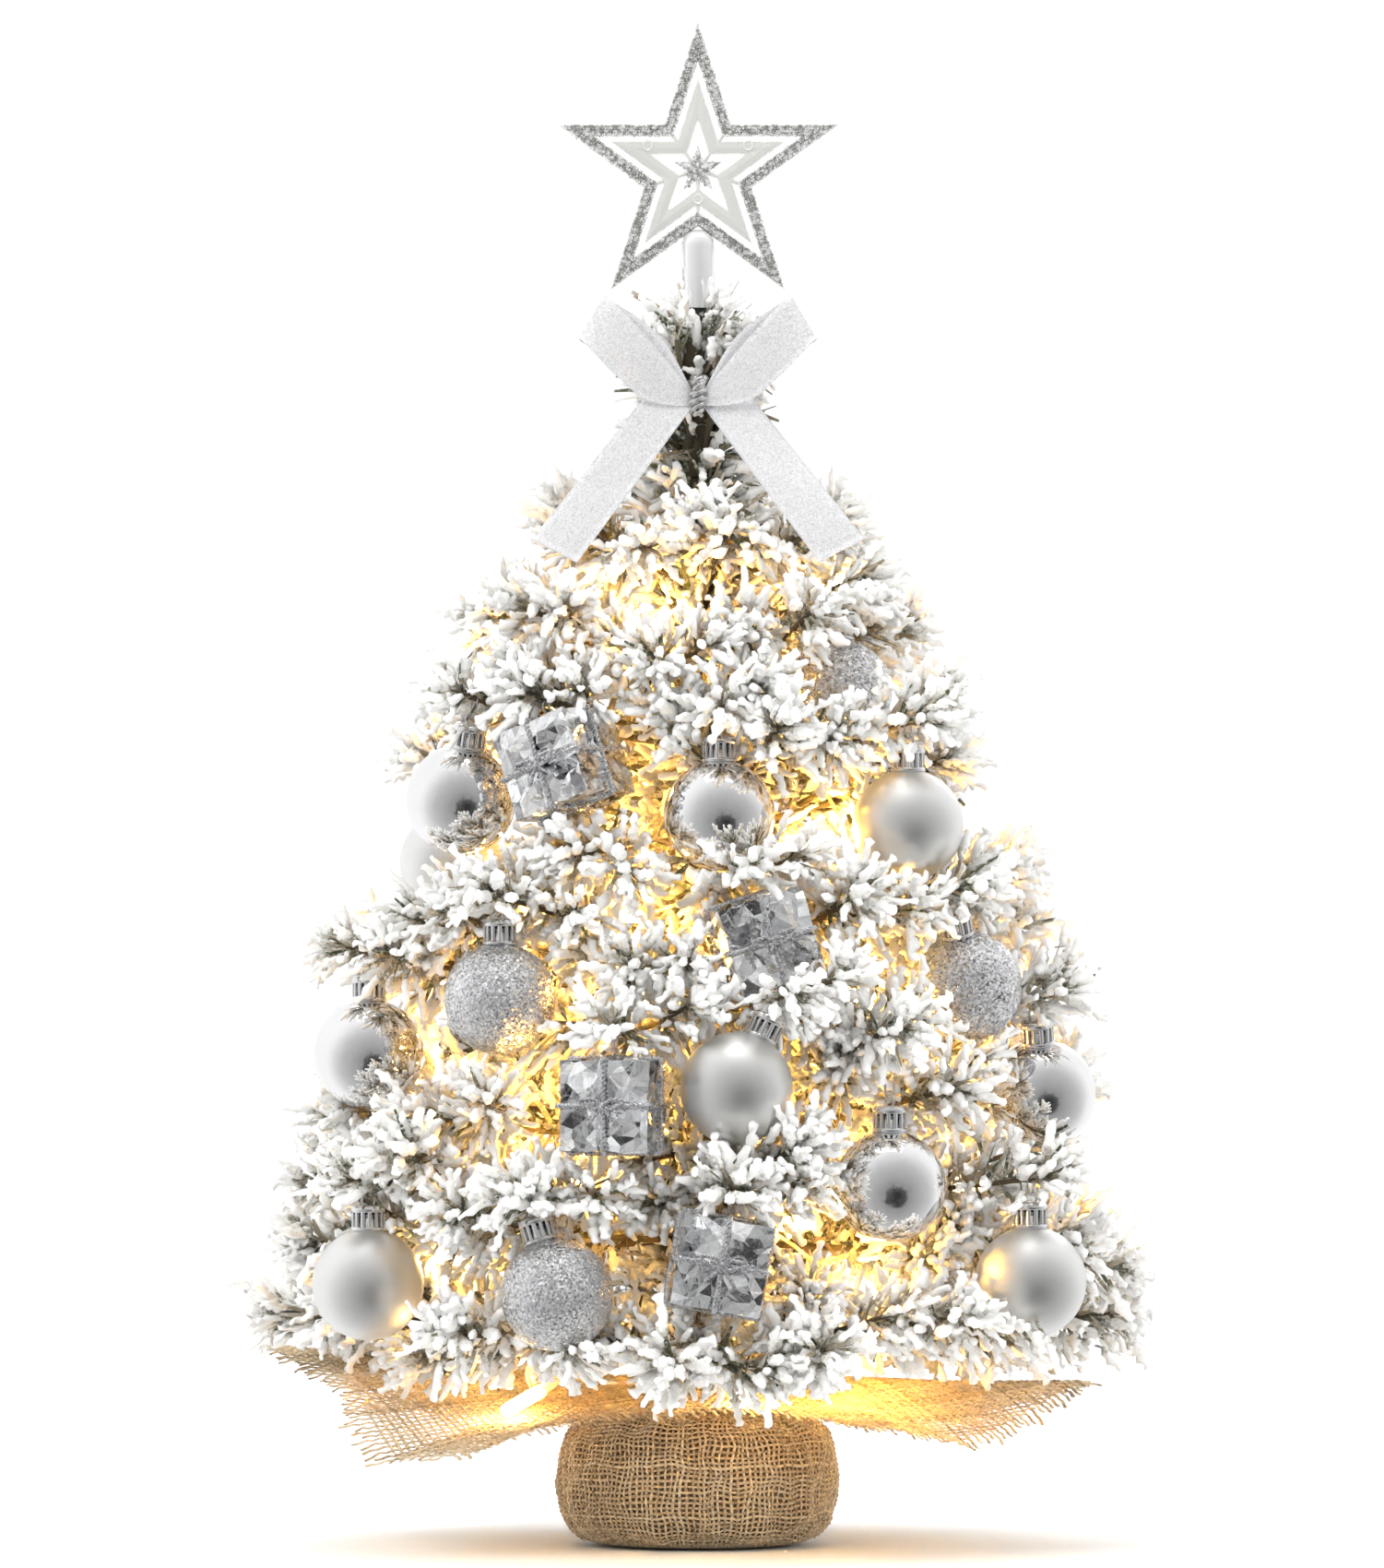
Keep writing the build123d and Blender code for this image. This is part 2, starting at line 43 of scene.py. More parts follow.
# ---------------------------------------------------------------- tables, in mm (as in the CAD)
TIERS = [
    ("branches_tier_1", 75.0, [(-37, 146, 82), (-4, 140, 72), (18, 142, 76), (40, 146, 88)]),
    ("branches_tier_2", 112.0,
     [(-70, 148, 112), (-38, 140, 124), (16, 128, 136), (66, 146, 112), (105, 146, 118),
      (142, 142, 122), (166, 144, 121), (-142, 144, 120), (-105, 148, 116)]),
    ("branches_tier_3", 152.0,
     [(-50, 132, 158), (8, 122, 141), (46, 128, 168), (88, 134, 170), (124, 132, 166),
      (146, 134, 174), (-162, 132, 166), (-124, 134, 172), (-92, 132, 158)]),
    ("branches_tier_4", 214.0,
     [(-60, 118, 228), (-13, 108, 210), (30, 114, 236), (74, 116, 246), (100, 120, 228),
      (128, 118, 236), (176, 120, 226), (-146, 118, 236), (-106, 120, 226)]),
    ("branches_tier_5", 262.0,
     [(-28, 98, 252), (18, 96, 298), (74, 94, 288), (112, 98, 286), (154, 98, 296),
      (-164, 98, 284), (-118, 98, 294)]),
    ("branches_tier_6", 316.0,
     [(-52, 78, 342), (-12, 74, 322), (34, 74, 340), (98, 76, 338), (140, 76, 346),
      (-176, 76, 336), (-132, 76, 346), (-92, 78, 338)]),
    ("branches_tier_7", 356.0,
     [(-32, 52, 366), (14, 48, 372), (72, 50, 376), (126, 50, 370), (178, 50, 380),
      (-128, 50, 370), (-78, 50, 378)]),
]
SLEEVES = {
    "branches_tier_1": (66.0, 84.0), "branches_tier_2": (84.5, 126.0),
    "branches_tier_3": (126.5, 186.0), "branches_tier_4": (186.5, 246.0),
    "branches_tier_5": (246.5, 296.0), "branches_tier_6": (296.5, 342.0),
    "branches_tier_7": (342.5, 392.0),
}
BENDING = [
    ("bottom_branch_right", 84), ("bottom_branch_back_right", 130), ("bottom_branch_back", 178),
    ("bottom_branch_back_left", -134), ("bottom_branch_left", -84),
]
BALLS = [
    ("shiny_ball_1", (-85.9, -50.0, 272.2), 16, 7, "branches_tier_5"),
    ("shiny_ball_2", (-119.6, -40.0, 180.0), 0, 6, "branches_tier_4"),
    ("shiny_ball_3", (7.6, -80.0, 265.6), 0, 6, "branches_tier_5"),
    ("shiny_ball_4", (125.0, -30.0, 165.7), -18, 6, "branches_tier_4"),
    ("shiny_ball_5", (68.0, -105.0, 133.1), 0, 24, "branches_tier_3"),
    ("matte_ball_1", (75.6, -68.0, 262.5), 0, 6, "branches_tier_5"),
    ("matte_ball_2", (13.5, -121.0, 168.0), 26, 6, "branches_tier_4"),
    ("matte_ball_3", (-118.2, -80.0, 97.6), 0, 6, "branches_tier_3"),
    ("matte_ball_4", (119.0, -80.0, 98.5), 0, 6, "branches_tier_3"),
    ("matte_ball_5", (-90.0, 6.0, 250.5), 0, 6, "branches_tier_5"),
    ("glitter_ball_1", (51.0, -22.0, 312.4), 0, 5, "branches_tier_6"),
    ("glitter_ball_2", (-70.8, -90.0, 199.8), 0, 6, "branches_tier_4"),
    ("glitter_ball_3", (96.9, -60.0, 204.5), -20, 5, "branches_tier_4"),
    ("glitter_ball_4", (-49.8, -125.0, 95.3), -18, 6, "branches_tier_3"),
    ("shiny_ball_6", (66.0, 92.0, 196.0), 0, 6, "branches_tier_4"),
    ("matte_ball_6", (-78.0, 104.0, 150.0), 0, 6, "branches_tier_4"),
    ("glitter_ball_5", (-40.0, 78.0, 258.0), 0, 6, "branches_tier_5"),
]
GIFTS = [
    ("gift_box_1", (-48.2, -75.0, 283.8), -20, 5, "branches_tier_6"),
    ("gift_box_2", (22.7, -94.0, 220.0), -17, 5, "branches_tier_4"),
    ("gift_box_3", (-29.5, -122.0, 161.8), 0, 5, "branches_tier_4"),
    ("gift_box_4", (7.4, -128.0, 106.0), 10, 5, "branches_tier_3"),
    ("gift_box_5", (22.0, 110.0, 152.0), 0, 5, "branches_tier_3"),
]
LIGHT_ROUTE = [
    (178, 62, 24, None), (170, 70, 50, None), (150, 62, 66, None), (118, 50, 68, None),
    (86, 44, 64, None), (50, 52, 66, (40, 12)), (14, 54, 63, (8, -10)), (-16, 56, 61, None),
    (-46, 70, 62, (-43, -20)), (-66, 74, 84, None), (-60, 78, 104, (-62, 5)),
    (-34, 72, 122, None), (-28, 70, 134, (-25, 5)), (-2, 70, 122, None), (22, 72, 118, (20, 5)),
    (42, 70, 100, (37, -10)), (66, 72, 118, None), (92, 72, 132, (95, 0)), (120, 72, 138, None),
    (150, 70, 146, (150, 0)), (178, 70, 152, None), (-152, 68, 158, (-150, 0)),
    (-122, 68, 164, None), (-94, 66, 172, (-90, 5)), (-66, 64, 184, None), (-40, 58, 198, None),
    (-14, 54, 196, (-12, 10)), (14, 56, 188, None), (42, 60, 184, (56, 0)),
    (74, 64, 178, (80, -5)), (104, 62, 190, None), (134, 60, 202, (132, 0)), (166, 58, 210, None),
    (-162, 56, 216, (-165, 0)), (-128, 54, 222, None), (-94, 52, 226, (-92, 0)),
    (-60, 48, 226, (-53, 0)), (-26, 44, 230, (-14, 0)), (8, 42, 240, None), (40, 40, 256, (46, 5)),
    (76, 42, 268, None), (114, 44, 274, (112, 0)), (154, 42, 280, None), (-164, 42, 286, (-162, 0)),
    (-120, 40, 292, None), (-78, 36, 298, (-80, 5)), (-34, 30, 312, None), (-20, 24, 332, (-22, 5)),
    (40, 24, 346, None), (90, 26, 352, (92, 5)), (150, 24, 362, (148, 5)),
]
BALL_R = 20.0
CAP_TOP = 28.5
EYE_Z = 30.2
BOX = 32.0
BOX_EYE = 20.5
BOW_Y = -28.0
BOW_Z = 421.0
STAR_Z = 506.5
STAR_R = 54.5
NOTCH = 0.382


# ---------------------------------------------------------------- small helpers
def polar(azimuth, reach, height):
    """A point at an azimuth in degrees: 0 is the front (-Y), 90 is +X."""
    a = math.radians(azimuth)
    return np.array([reach * math.sin(a), -reach * math.cos(a), height])


def unit(v):
    v = np.asarray(v, float)
    return v / max(np.linalg.norm(v), 1e-9)


def rows_unit(v):
    return v / np.maximum(np.linalg.norm(v, axis=1, keepdims=True), 1e-9)


def hang_frame(centre, lean, arm):
    """Outward and up directions of a leaning ornament, and the point arm mm above its centre."""
    azimuth = math.degrees(math.atan2(centre[0], -centre[1]))
    a = math.radians(azimuth)
    out = polar(azimuth, 1, 0)
    side = np.array([math.cos(a), math.sin(a), 0])
    t = math.radians(lean)
    up = side * math.sin(t) + np.array([0, 0, math.cos(t)])
    return out, up, np.array(centre) + up * arm


def mesh_piece(name, verts, faces, mats, face_mat=None, smooth=True, attributes=None):
    """verts in mm; faces is a list of index lists, or an (n, 4) or (n, 3) array."""
    me = bpy.data.meshes.new(name)
    me.from_pydata((np.asarray(verts) * MM).tolist(), [], [list(map(int, f)) for f in faces])
    for m in mats:
        me.materials.append(m)
    if face_mat is not None:
        me.polygons.foreach_set("material_index", np.asarray(face_mat, np.int32))
    me.polygons.foreach_set("use_smooth", np.full(len(me.polygons), smooth))
    for key, values in (attributes or {}).items():
        me.attributes.new(key, "FLOAT", "POINT").data.foreach_set(
            "value", np.asarray(values, np.float32)
        )
    me.update()
    o = bpy.data.objects.new(name, me)
    bpy.context.scene.collection.objects.link(o)
    return o


class Builder:
    """Gathers parts of one mesh."""

    def __init__(self):
        self.v, self.f, self.m, self.n = [], [], [], 0
        self.attr = {}

    def add(self, verts, faces, mat=0, **attr):
        verts = np.asarray(verts, float)
        self.v.append(verts)
        for f in faces:
            self.f.append([int(i) + self.n for i in f])
            self.m.append(mat)
        for key in set(self.attr) | set(attr):
            have = self.attr.setdefault(key, [np.zeros(self.n)])
            value = attr.get(key, 0.0)
            have.append(np.broadcast_to(np.asarray(value, float), (len(verts),)))
        self.n += len(verts)

    def piece(self, name, mats, smooth=True):
        attrs = {k: np.concatenate(a) for k, a in self.attr.items()}
        return mesh_piece(name, np.concatenate(self.v), self.f, mats, self.m, smooth, attrs)


def quads(rows, cols, closed=False):
    """Faces of a grid whose columns close up; with closed, its rows close up too."""
    return [[i * cols + k, i * cols + (k + 1) % cols,
             (i + 1) % rows * cols + (k + 1) % cols, (i + 1) % rows * cols + k]
            for i in range(rows if closed else rows - 1) for k in range(cols)]


def tube(points, radius, sides=8, closed=False):
    """A tube through points (mm); radius may vary along it."""
    p = np.asarray(points, float)
    n = len(p)
    r = np.broadcast_to(np.asarray(radius, float), (n,))
    if closed:
        t = rows_unit(np.roll(p, -1, 0) - np.roll(p, 1, 0))
    else:
        t = rows_unit(np.gradient(p, axis=0))
    u = np.zeros_like(p)
    ref = np.array([0, 0, 1.0]) if abs(t[0][2]) < 0.9 else np.array([1.0, 0, 0])
    u[0] = unit(np.cross(t[0], ref))
    for i in range(1, n):
        w = u[i - 1] - t[i] * np.dot(u[i - 1], t[i])
        u[i] = unit(w) if np.linalg.norm(w) > 1e-6 else u[i - 1]
    w = np.cross(t, u)
    a = np.linspace(0, 2 * np.pi, sides, endpoint=False)
    ring = p[:, None] + r[:, None, None] * (
        np.cos(a)[None, :, None] * u[:, None] + np.sin(a)[None, :, None] * w[:, None]
    )
    faces = quads(n, sides, closed)
    if not closed:
        faces.append(list(range(sides))[::-1])
        faces.append([(n - 1) * sides + k for k in range(sides)])
    return ring.reshape(-1, 3), faces


def lathe(profile, sides=48):
    """Profile of (radius, z) turned about Z; first and last may have radius 0."""
    verts = []
    for r, z in profile:
        for k in range(sides):
            a = 2 * math.pi * k / sides
            verts.append((r * math.cos(a), r * math.sin(a), z))
    return np.array(verts), quads(len(profile), sides)


def to_frame(verts, origin, x, y, z):
    """Vertices from an ornament's own axes to the tree's."""
    v = np.asarray(verts, float)
    return np.asarray(origin) + v[:, :1] * x + v[:, 1:2] * y + v[:, 2:3] * z


# ---------------------------------------------------------------- materials
class Graph:
    """A thin wrapper that makes node graphs short to write."""

    def __init__(self, tree):
        self.t = tree

    def node(self, kind, **values):
        n = self.t.nodes.new(kind)
        for key, value in values.items():
            if key in n.inputs:
                self.set(n.inputs[key], value)
            elif key.replace("_", " ") in n.inputs:
                self.set(n.inputs[key.replace("_", " ")], value)
            else:
                setattr(n, key, value)
        return n

    def set(self, socket, value):
        if isinstance(value, bpy.types.NodeSocket):
            self.t.links.new(value, socket)
        else:
            socket.default_value = value

    def ramp(self, fac, stops):
        n = self.node("ShaderNodeValToRGB")
        while len(n.color_ramp.elements) < len(stops):
            n.color_ramp.elements.new(0.5)
        for e, (at, colour) in zip(n.color_ramp.elements, stops):
            e.position = at
            e.color = (*colour, 1.0)
        self.set(n.inputs["Fac"], fac)
        return n.outputs["Color"]


class Mat(Graph):
    """A new material round one Principled shader."""

    def __init__(self, name):
        self.m = bpy.data.materials.new(name)
        self.m.use_nodes = True
        super().__init__(self.m.node_tree)
        self.b = self.t.nodes["Principled BSDF"]

    def put(self, **values):
        for key, value in values.items():
            self.set(self.b.inputs[key.replace("_", " ")], value)

    def noise(self, scale, detail=3.0, rough=0.55, distortion=0.0):
        n = self.node("ShaderNodeTexNoise", Scale=scale, Detail=detail, Roughness=rough,
                      Distortion=distortion)
        self.set(n.inputs["Vector"], self.object_place())
        return n.outputs["Fac"]

    def object_place(self):
        return self.node("ShaderNodeTexCoord").outputs["Object"]

    def voronoi(self, scale, feature="F1", out="Distance"):
        n = self.node("ShaderNodeTexVoronoi", feature=feature, Scale=scale)
        self.set(n.inputs["Vector"], self.object_place())
        return n.outputs[out]

    def cell_levels(self, scale):
        """Three random levels for each Voronoi cell."""
        part = self.node("ShaderNodeSeparateColor")
        self.set(part.inputs["Color"], self.voronoi(scale, out="Color"))
        return part.outputs

    def steady(self, socket, value):
        """A constant on the shader's own socket."""
        self.b.inputs[socket].default_value = value

    def span(self, fac, low, high):
        n = self.node("ShaderNodeMapRange")
        self.set(n.inputs["Value"], fac)
        n.inputs["To Min"].default_value = low
        n.inputs["To Max"].default_value = high
        return n.outputs["Result"]

    def maths(self, kind, a, b=0.0):
        n = self.node("ShaderNodeMath", operation=kind)
        self.set(n.inputs[0], a)
        self.set(n.inputs[1], b)
        return n.outputs[0]

    def mix(self, fac, a, b):
        n = self.node("ShaderNodeMix", data_type="RGBA")
        self.set(n.inputs[0], fac)
        for socket, value in ((n.inputs[6], a), (n.inputs[7], b)):
            self.set(socket, (*value, 1.0) if isinstance(value, tuple) and len(value) == 3 else value)
        return n.outputs[2]

    def attr(self, name):
        return self.node("ShaderNodeAttribute", attribute_name=name).outputs["Fac"]

    def tilted(self, scale, amount):
        """A normal that leans a random way in each cell, as flakes and folded facets do."""
        lean = self.node("ShaderNodeVectorMath", operation="SUBTRACT")
        self.set(lean.inputs[0], self.voronoi(scale, out="Color"))
        lean.inputs[1].default_value = (0.5, 0.5, 0.5)
        size = self.node("ShaderNodeVectorMath", operation="SCALE")
        self.set(size.inputs[0], lean.outputs[0])
        size.inputs["Scale"].default_value = amount
        total = self.node("ShaderNodeVectorMath", operation="ADD")
        self.set(total.inputs[0], size.outputs[0])
        self.set(total.inputs[1], self.node("ShaderNodeNewGeometry").outputs["Normal"])
        out = self.node("ShaderNodeVectorMath", operation="NORMALIZE")
        self.set(out.inputs[0], total.outputs[0])
        return out.outputs[0]

    def bump(self, height, strength, distance=0.0005, normal=None):
        n = self.node("ShaderNodeBump", Strength=strength, Distance=distance)
        self.set(n.inputs["Height"], height)
        if normal is not None:
            self.set(n.inputs["Normal"], normal)
        return n.outputs["Normal"]


def flock_material():
    """White flock, painted darker and browner towards the root of a lump as shade deep among the
    needles; a few lumps are greyer.
    """
    k = Mat("flock")
    tint = k.attr("tint")
    along = k.attr("along")
    patches = k.noise(420, 4, 0.6)
    # a low along (a lump's root) pulls the ramp down to dark brown: painted shade inside the tree
    shade = k.maths("ADD", k.maths("MULTIPLY", patches, 0.62), k.maths("MULTIPLY", along, 0.42))
    white = k.ramp(shade, [(0.27, (0.20, 0.18, 0.13)), (0.36, (0.50, 0.48, 0.42)),
                           (0.46, (0.91, 0.905, 0.88)), (0.70, (0.98, 0.978, 0.965))])
    grey = k.mix(k.span(tint, 0.0, 0.14), white, (0.60, 0.61, 0.57))
    k.put(Base_Color=grey, Roughness=0.92)
    k.steady("Sheen Weight", 0.25)
    k.steady("Specular IOR Level", 0.25)
    fuzz = k.bump(k.noise(2600, 3, 0.7), 0.55, 0.0004)
    k.put(Normal=k.bump(k.noise(700, 2, 0.5), 0.6, 0.0007, fuzz))
    return k.m


def strip_material():
    """PVC strips, from dark green to tan, with a dusting of flock."""
    k = Mat("pvc_strip")
    tint = k.attr("tint")
    colour = k.ramp(tint, [(0.0, (0.045, 0.065, 0.03)), (0.28, (0.11, 0.115, 0.065)),
                           (0.5, (0.26, 0.22, 0.15)), (0.75, (0.42, 0.35, 0.25)),
                           (1.0, (0.60, 0.55, 0.46))])
    dust = k.ramp(k.noise(520, 5, 0.7), [(0.50, (0, 0, 0)), (0.66, (1, 1, 1))])
    k.put(Base_Color=k.mix(dust, colour, (0.72, 0.73, 0.69)))
    k.put(Roughness=k.span(k.noise(300), 0.35, 0.7))
    k.put(Normal=k.bump(k.noise(900, 2), 0.35, 0.0003))
    return k.m


def stem_material():
    k = Mat("wrapped_stem")
    turns = k.node("ShaderNodeTexWave", wave_type="BANDS", bands_direction="DIAGONAL", Scale=180.0,
                   Distortion=1.5)
    k.put(Base_Color=k.ramp(turns.outputs["Fac"], [(0.2, (0.05, 0.045, 0.03)),
                                                   (0.8, (0.16, 0.12, 0.07))]))
    k.put(Roughness=k.span(k.noise(500), 0.55, 0.85))
    k.put(Normal=k.bump(turns.outputs["Fac"], 0.5, 0.0004))
    return k.m


def chrome_material(name, colour, rough_low, rough_high, ripple=0.02, metal=1.0):
    k = Mat(name)
    smear = k.noise(60, 4, 0.6)
    k.put(Base_Color=k.ramp(smear, [(0.3, tuple(c * 0.94 for c in colour)), (0.7, colour)]))
    k.put(Roughness=k.span(k.noise(240, 3), rough_low, rough_high))
    k.steady("Metallic", metal)
    k.put(Normal=k.bump(k.noise(90, 2), ripple, 0.0004))
    return k.m


def matte_silver_material():
    k = Mat("matte_silver")
    speck = k.noise(1600, 2, 0.6)
    k.put(Base_Color=k.ramp(k.noise(50, 3), [(0.3, (0.88, 0.88, 0.87)), (0.7, (0.95, 0.95, 0.94))]))
    k.put(Roughness=k.span(speck, 0.40, 0.52))
    k.steady("Metallic", 1.0)
    k.put(Normal=k.bump(speck, 0.10, 0.0002))
    return k.m


def glitter_material(name, base, scale=1500, tilt=0.9):
    k = Mat(name)
    level = k.cell_levels(scale)
    k.put(Base_Color=k.ramp(level[0], [(0.0, tuple(c * 0.42 for c in base)),
                                      (0.45, tuple(c * 0.8 for c in base)), (1.0, base)]))
    k.put(Roughness=k.span(level[1], 0.10, 0.34))
    k.steady("Metallic", 0.9)
    k.put(Normal=k.tilted(scale, tilt))
    return k.m


def rhinestone_material():
    """Small bright stones, lighter in each cell's middle and darker towards its edge: painted shade
    between the stones.
    """
    k = Mat("star_rhinestone")
    cell = k.voronoi(620)
    # near-white cell middles fading to grey at the cell edges: painted shade between the stones
    shade = k.ramp(cell, [(0.0, (0.97, 0.97, 0.97)), (0.40, (0.92, 0.92, 0.91)),
                          (0.62, (0.50, 0.50, 0.48))])
    k.put(Base_Color=shade, Roughness=k.span(k.noise(800), 0.12, 0.3))
    k.steady("Metallic", 0.6)
    k.put(Normal=k.bump(cell, 0.6, 0.0005, k.tilted(1200, 0.20)))
    return k.m


FOIL_FOLDS = 115.0       # cells per metre


def foil_material():
    k = Mat("crinkled_foil")
    creases = k.voronoi(170, "DISTANCE_TO_EDGE")
    fine = k.noise(380, 4, 0.6, distortion=0.8)
    fold = k.cell_levels(FOIL_FOLDS)[0]
    level = k.maths("ADD", k.maths("MULTIPLY", fold, 0.80), k.maths("MULTIPLY", fine, 0.20))
    k.put(Base_Color=k.ramp(level, [(0.12, (0.24, 0.24, 0.25)), (0.22, (0.70, 0.71, 0.73)),
                                    (0.32, (0.96, 0.97, 0.98)), (0.80, (0.99, 0.99, 1.0))]))
    k.put(Roughness=k.span(k.noise(500), 0.05, 0.14))
    k.steady("Metallic", 1.0)
    k.put(Normal=k.bump(fine, 0.2, 0.0008, k.bump(creases, 0.35, 0.0015, k.tilted(FOIL_FOLDS, 1.0))))
    return k.m


def jute_material():
    """Fibrous yarn; each yarn's tint and the fibre noise set the shade, and the backing's tint below
    zero gives painted shade between the yarns.
    """
    k = Mat("jute_cloth")
    tint = k.attr("tint")
    fibre = k.noise(900, 5, 0.7)
    broad = k.noise(38, 3, 0.6)
    shade = k.maths("ADD", k.maths("MULTIPLY", tint, 0.22), k.maths("MULTIPLY", fibre, 0.85))
    yarn = k.ramp(shade, [(0.30, (0.15, 0.10, 0.055)), (0.40, (0.46, 0.335, 0.20)),
                          (0.54, (0.76, 0.60, 0.39)), (0.72, (0.95, 0.82, 0.60))])
    k.put(Base_Color=k.mix(k.span(broad, 0.0, 0.22), yarn, (0.34, 0.24, 0.12)))
    k.put(Roughness=0.95)
    k.steady("Specular IOR Level", 0.15)
    k.steady("Sheen Weight", 0.2)
    k.put(Normal=k.bump(fibre, 0.8, 0.0005))
    return k.m


def ribbon_material():
    k = Mat("glitter_ribbon")
    fleck = k.cell_levels(2300.0)
    k.put(Base_Color=k.ramp(fleck[0], [(0.0, (0.55, 0.55, 0.56)), (0.35, (0.68, 0.68, 0.69)),
                                       (1.0, (0.79, 0.79, 0.80))]))
    k.put(Roughness=k.span(fleck[1], 0.3, 0.6))
    k.steady("Metallic", 0.35)
    k.put(Normal=k.tilted(2300.0, 0.45))
    return k.m


def clear_wire_material():
    k = Mat("clear_wire")
    strands = k.node("ShaderNodeTexWave", wave_type="BANDS", bands_direction="DIAGONAL", Scale=220.0)
    k.put(Base_Color=k.ramp(strands.outputs["Fac"], [(0.35, (0.62, 0.45, 0.26)),
                                                     (0.6, (0.86, 0.82, 0.70))]))
    k.put(Roughness=k.span(k.noise(300), 0.12, 0.3))
    k.steady("Coat Weight", 0.7)
    k.put(Normal=k.bump(strands.outputs["Fac"], 0.4, 0.0003))
    return k.m


def bulb_material():
    k = Mat("warm_bulb")
    glow = k.ramp(k.attr("along"), [(0.0, (0.95, 0.50, 0.14)), (0.45, (1.0, 0.66, 0.26)),
                                    (0.75, (1.0, 0.86, 0.58)), (1.0, (1.0, 0.72, 0.32))])
    k.put(Base_Color=glow, Roughness=k.span(k.noise(400), 0.12, 0.25))
    k.put(Emission_Color=glow)
    k.put(Emission_Strength=k.span(k.attr("glow"), 0.6, 26.0))
    return k.m


def plastic_material(name, colour, rough):
    k = Mat(name)
    grain = k.noise(1400, 2, 0.6)
    k.put(Base_Color=k.ramp(k.noise(70, 3), [(0.3, tuple(c * 0.85 for c in colour)), (0.7, colour)]))
    k.put(Roughness=k.span(grain, rough - 0.08, rough + 0.08))
    k.put(Normal=k.bump(grain, 0.25, 0.0002))
    return k.m


def concrete_material():
    k = Mat("concrete_core")
    k.put(Base_Color=k.ramp(k.noise(120, 5), [(0.3, (0.28, 0.27, 0.25)), (0.7, (0.48, 0.46, 0.43))]))
    k.put(Roughness=0.9)
    k.put(Normal=k.bump(k.noise(500, 4), 0.6, 0.0006))
    return k.m


FLOCK = flock_material()
STRIP = strip_material()
STEM = stem_material()
SHINY = chrome_material("shiny_silver", (0.93, 0.93, 0.94), 0.02, 0.05)
CAP = chrome_material("cap_silver", (0.86, 0.86, 0.87), 0.10, 0.20, 0.05)
MATTE = matte_silver_material()
GLITTER = glitter_material("glitter_silver", (0.95, 0.95, 0.97), 1250, 0.80)
STAR_GLITTER = rhinestone_material()
STAR_SATIN = chrome_material("star_satin", (0.92, 0.92, 0.88), 0.24, 0.38, 0.20, 0.6)
SOCKET = chrome_material("socket_silver", (0.90, 0.90, 0.91), 0.07, 0.15, 0.05, 0.6)
FOIL = foil_material()
FOIL_CORD = glitter_material("foil_cord", (0.85, 0.85, 0.87), 1400, 0.6)
THREAD = chrome_material("silver_thread", (0.80, 0.80, 0.80), 0.2, 0.35, 0.1)
JUTE = jute_material()
RIBBON = ribbon_material()
WIRE = clear_wire_material()
BULB = bulb_material()
BLACK = plastic_material("black_plastic", (0.03, 0.03, 0.032), 0.5)
CELL = plastic_material("cell_wrap", (0.16, 0.17, 0.19), 0.3)
NICKEL = chrome_material("nickel", (0.66, 0.64, 0.60), 0.2, 0.35, 0.05)
CONCRETE = concrete_material()
STEEL = plastic_material("trunk_paint", (0.05, 0.06, 0.045), 0.55)


def paint(node, material):
    """Gives a carried-over CAD node its material."""
    o = NODES[node]
    o.data.materials.clear()
    o.data.materials.append(material)


for node, material in (
    ("base_weight", CONCRETE), ("trunk_pole", STEEL), ("star_socket", SOCKET),
    ("battery_case", BLACK), ("battery_door", BLACK), ("power_switch", BLACK),
    ("battery_cells", CELL), ("battery_contacts", NICKEL),
):
    paint(node, material)


# ---------------------------------------------------------------- what needles must keep clear of
# (up, out, radius) of the clear balls round a ball and its cap, and round a gift box
BALL_CLEAR = ((0, 0, BALL_R + 0.6), (24, 0, 7.6), (23, 12, 8.0), (0, 16, 16.5), (0, 30, 12.0))
GIFT_CLEAR = ((0, 0, 20.5), (0, 14, 19.0), (0, 30, 16.0))
FRONT_GAP = 24.0        # how far in front of a front ornament its last clear ball stands
keep_out = []
for ornaments, clear, front in ((BALLS, BALL_CLEAR, 15.0), (GIFTS, GIFT_CLEAR, 18.0)):
    for name, centre, lean, gap, tier in ornaments:
        out, up, hang = hang_frame(centre, lean, 0)
        for above, ahead, radius in clear:
            keep_out.append((np.array(centre) + up * above + out * ahead, radius))
        if centre[1] < -20:
            keep_out.append((np.array(centre) + (0, -FRONT_GAP, 0), front))


def in_bow(p):
    """True for points in the slab that the ribbon bow fills."""
    x = np.abs(p[:, 0])
    z = p[:, 2]
    loop = (z > BOW_Z - 6) & (z < 462) & (np.abs((z - BOW_Z) - 0.75 * x) < 20) & (x < 50)
    tail = (z < BOW_Z) & (z > 352) & (np.abs((BOW_Z - z) - 1.12 * x) < 20) & (x < 64)
    return (p[:, 1] < -17) & (loop | tail)


# ---------------------------------------------------------------- needles
RINGS = 7               # along a lump of flock
SIDES = 7               # round it
NEEDLE_TURN = 2.39996   # the golden angle, so that needles fill all sides evenly
LOWEST = 24             # no needle goes lower, or further out than WIDEST
WIDEST = 168.5


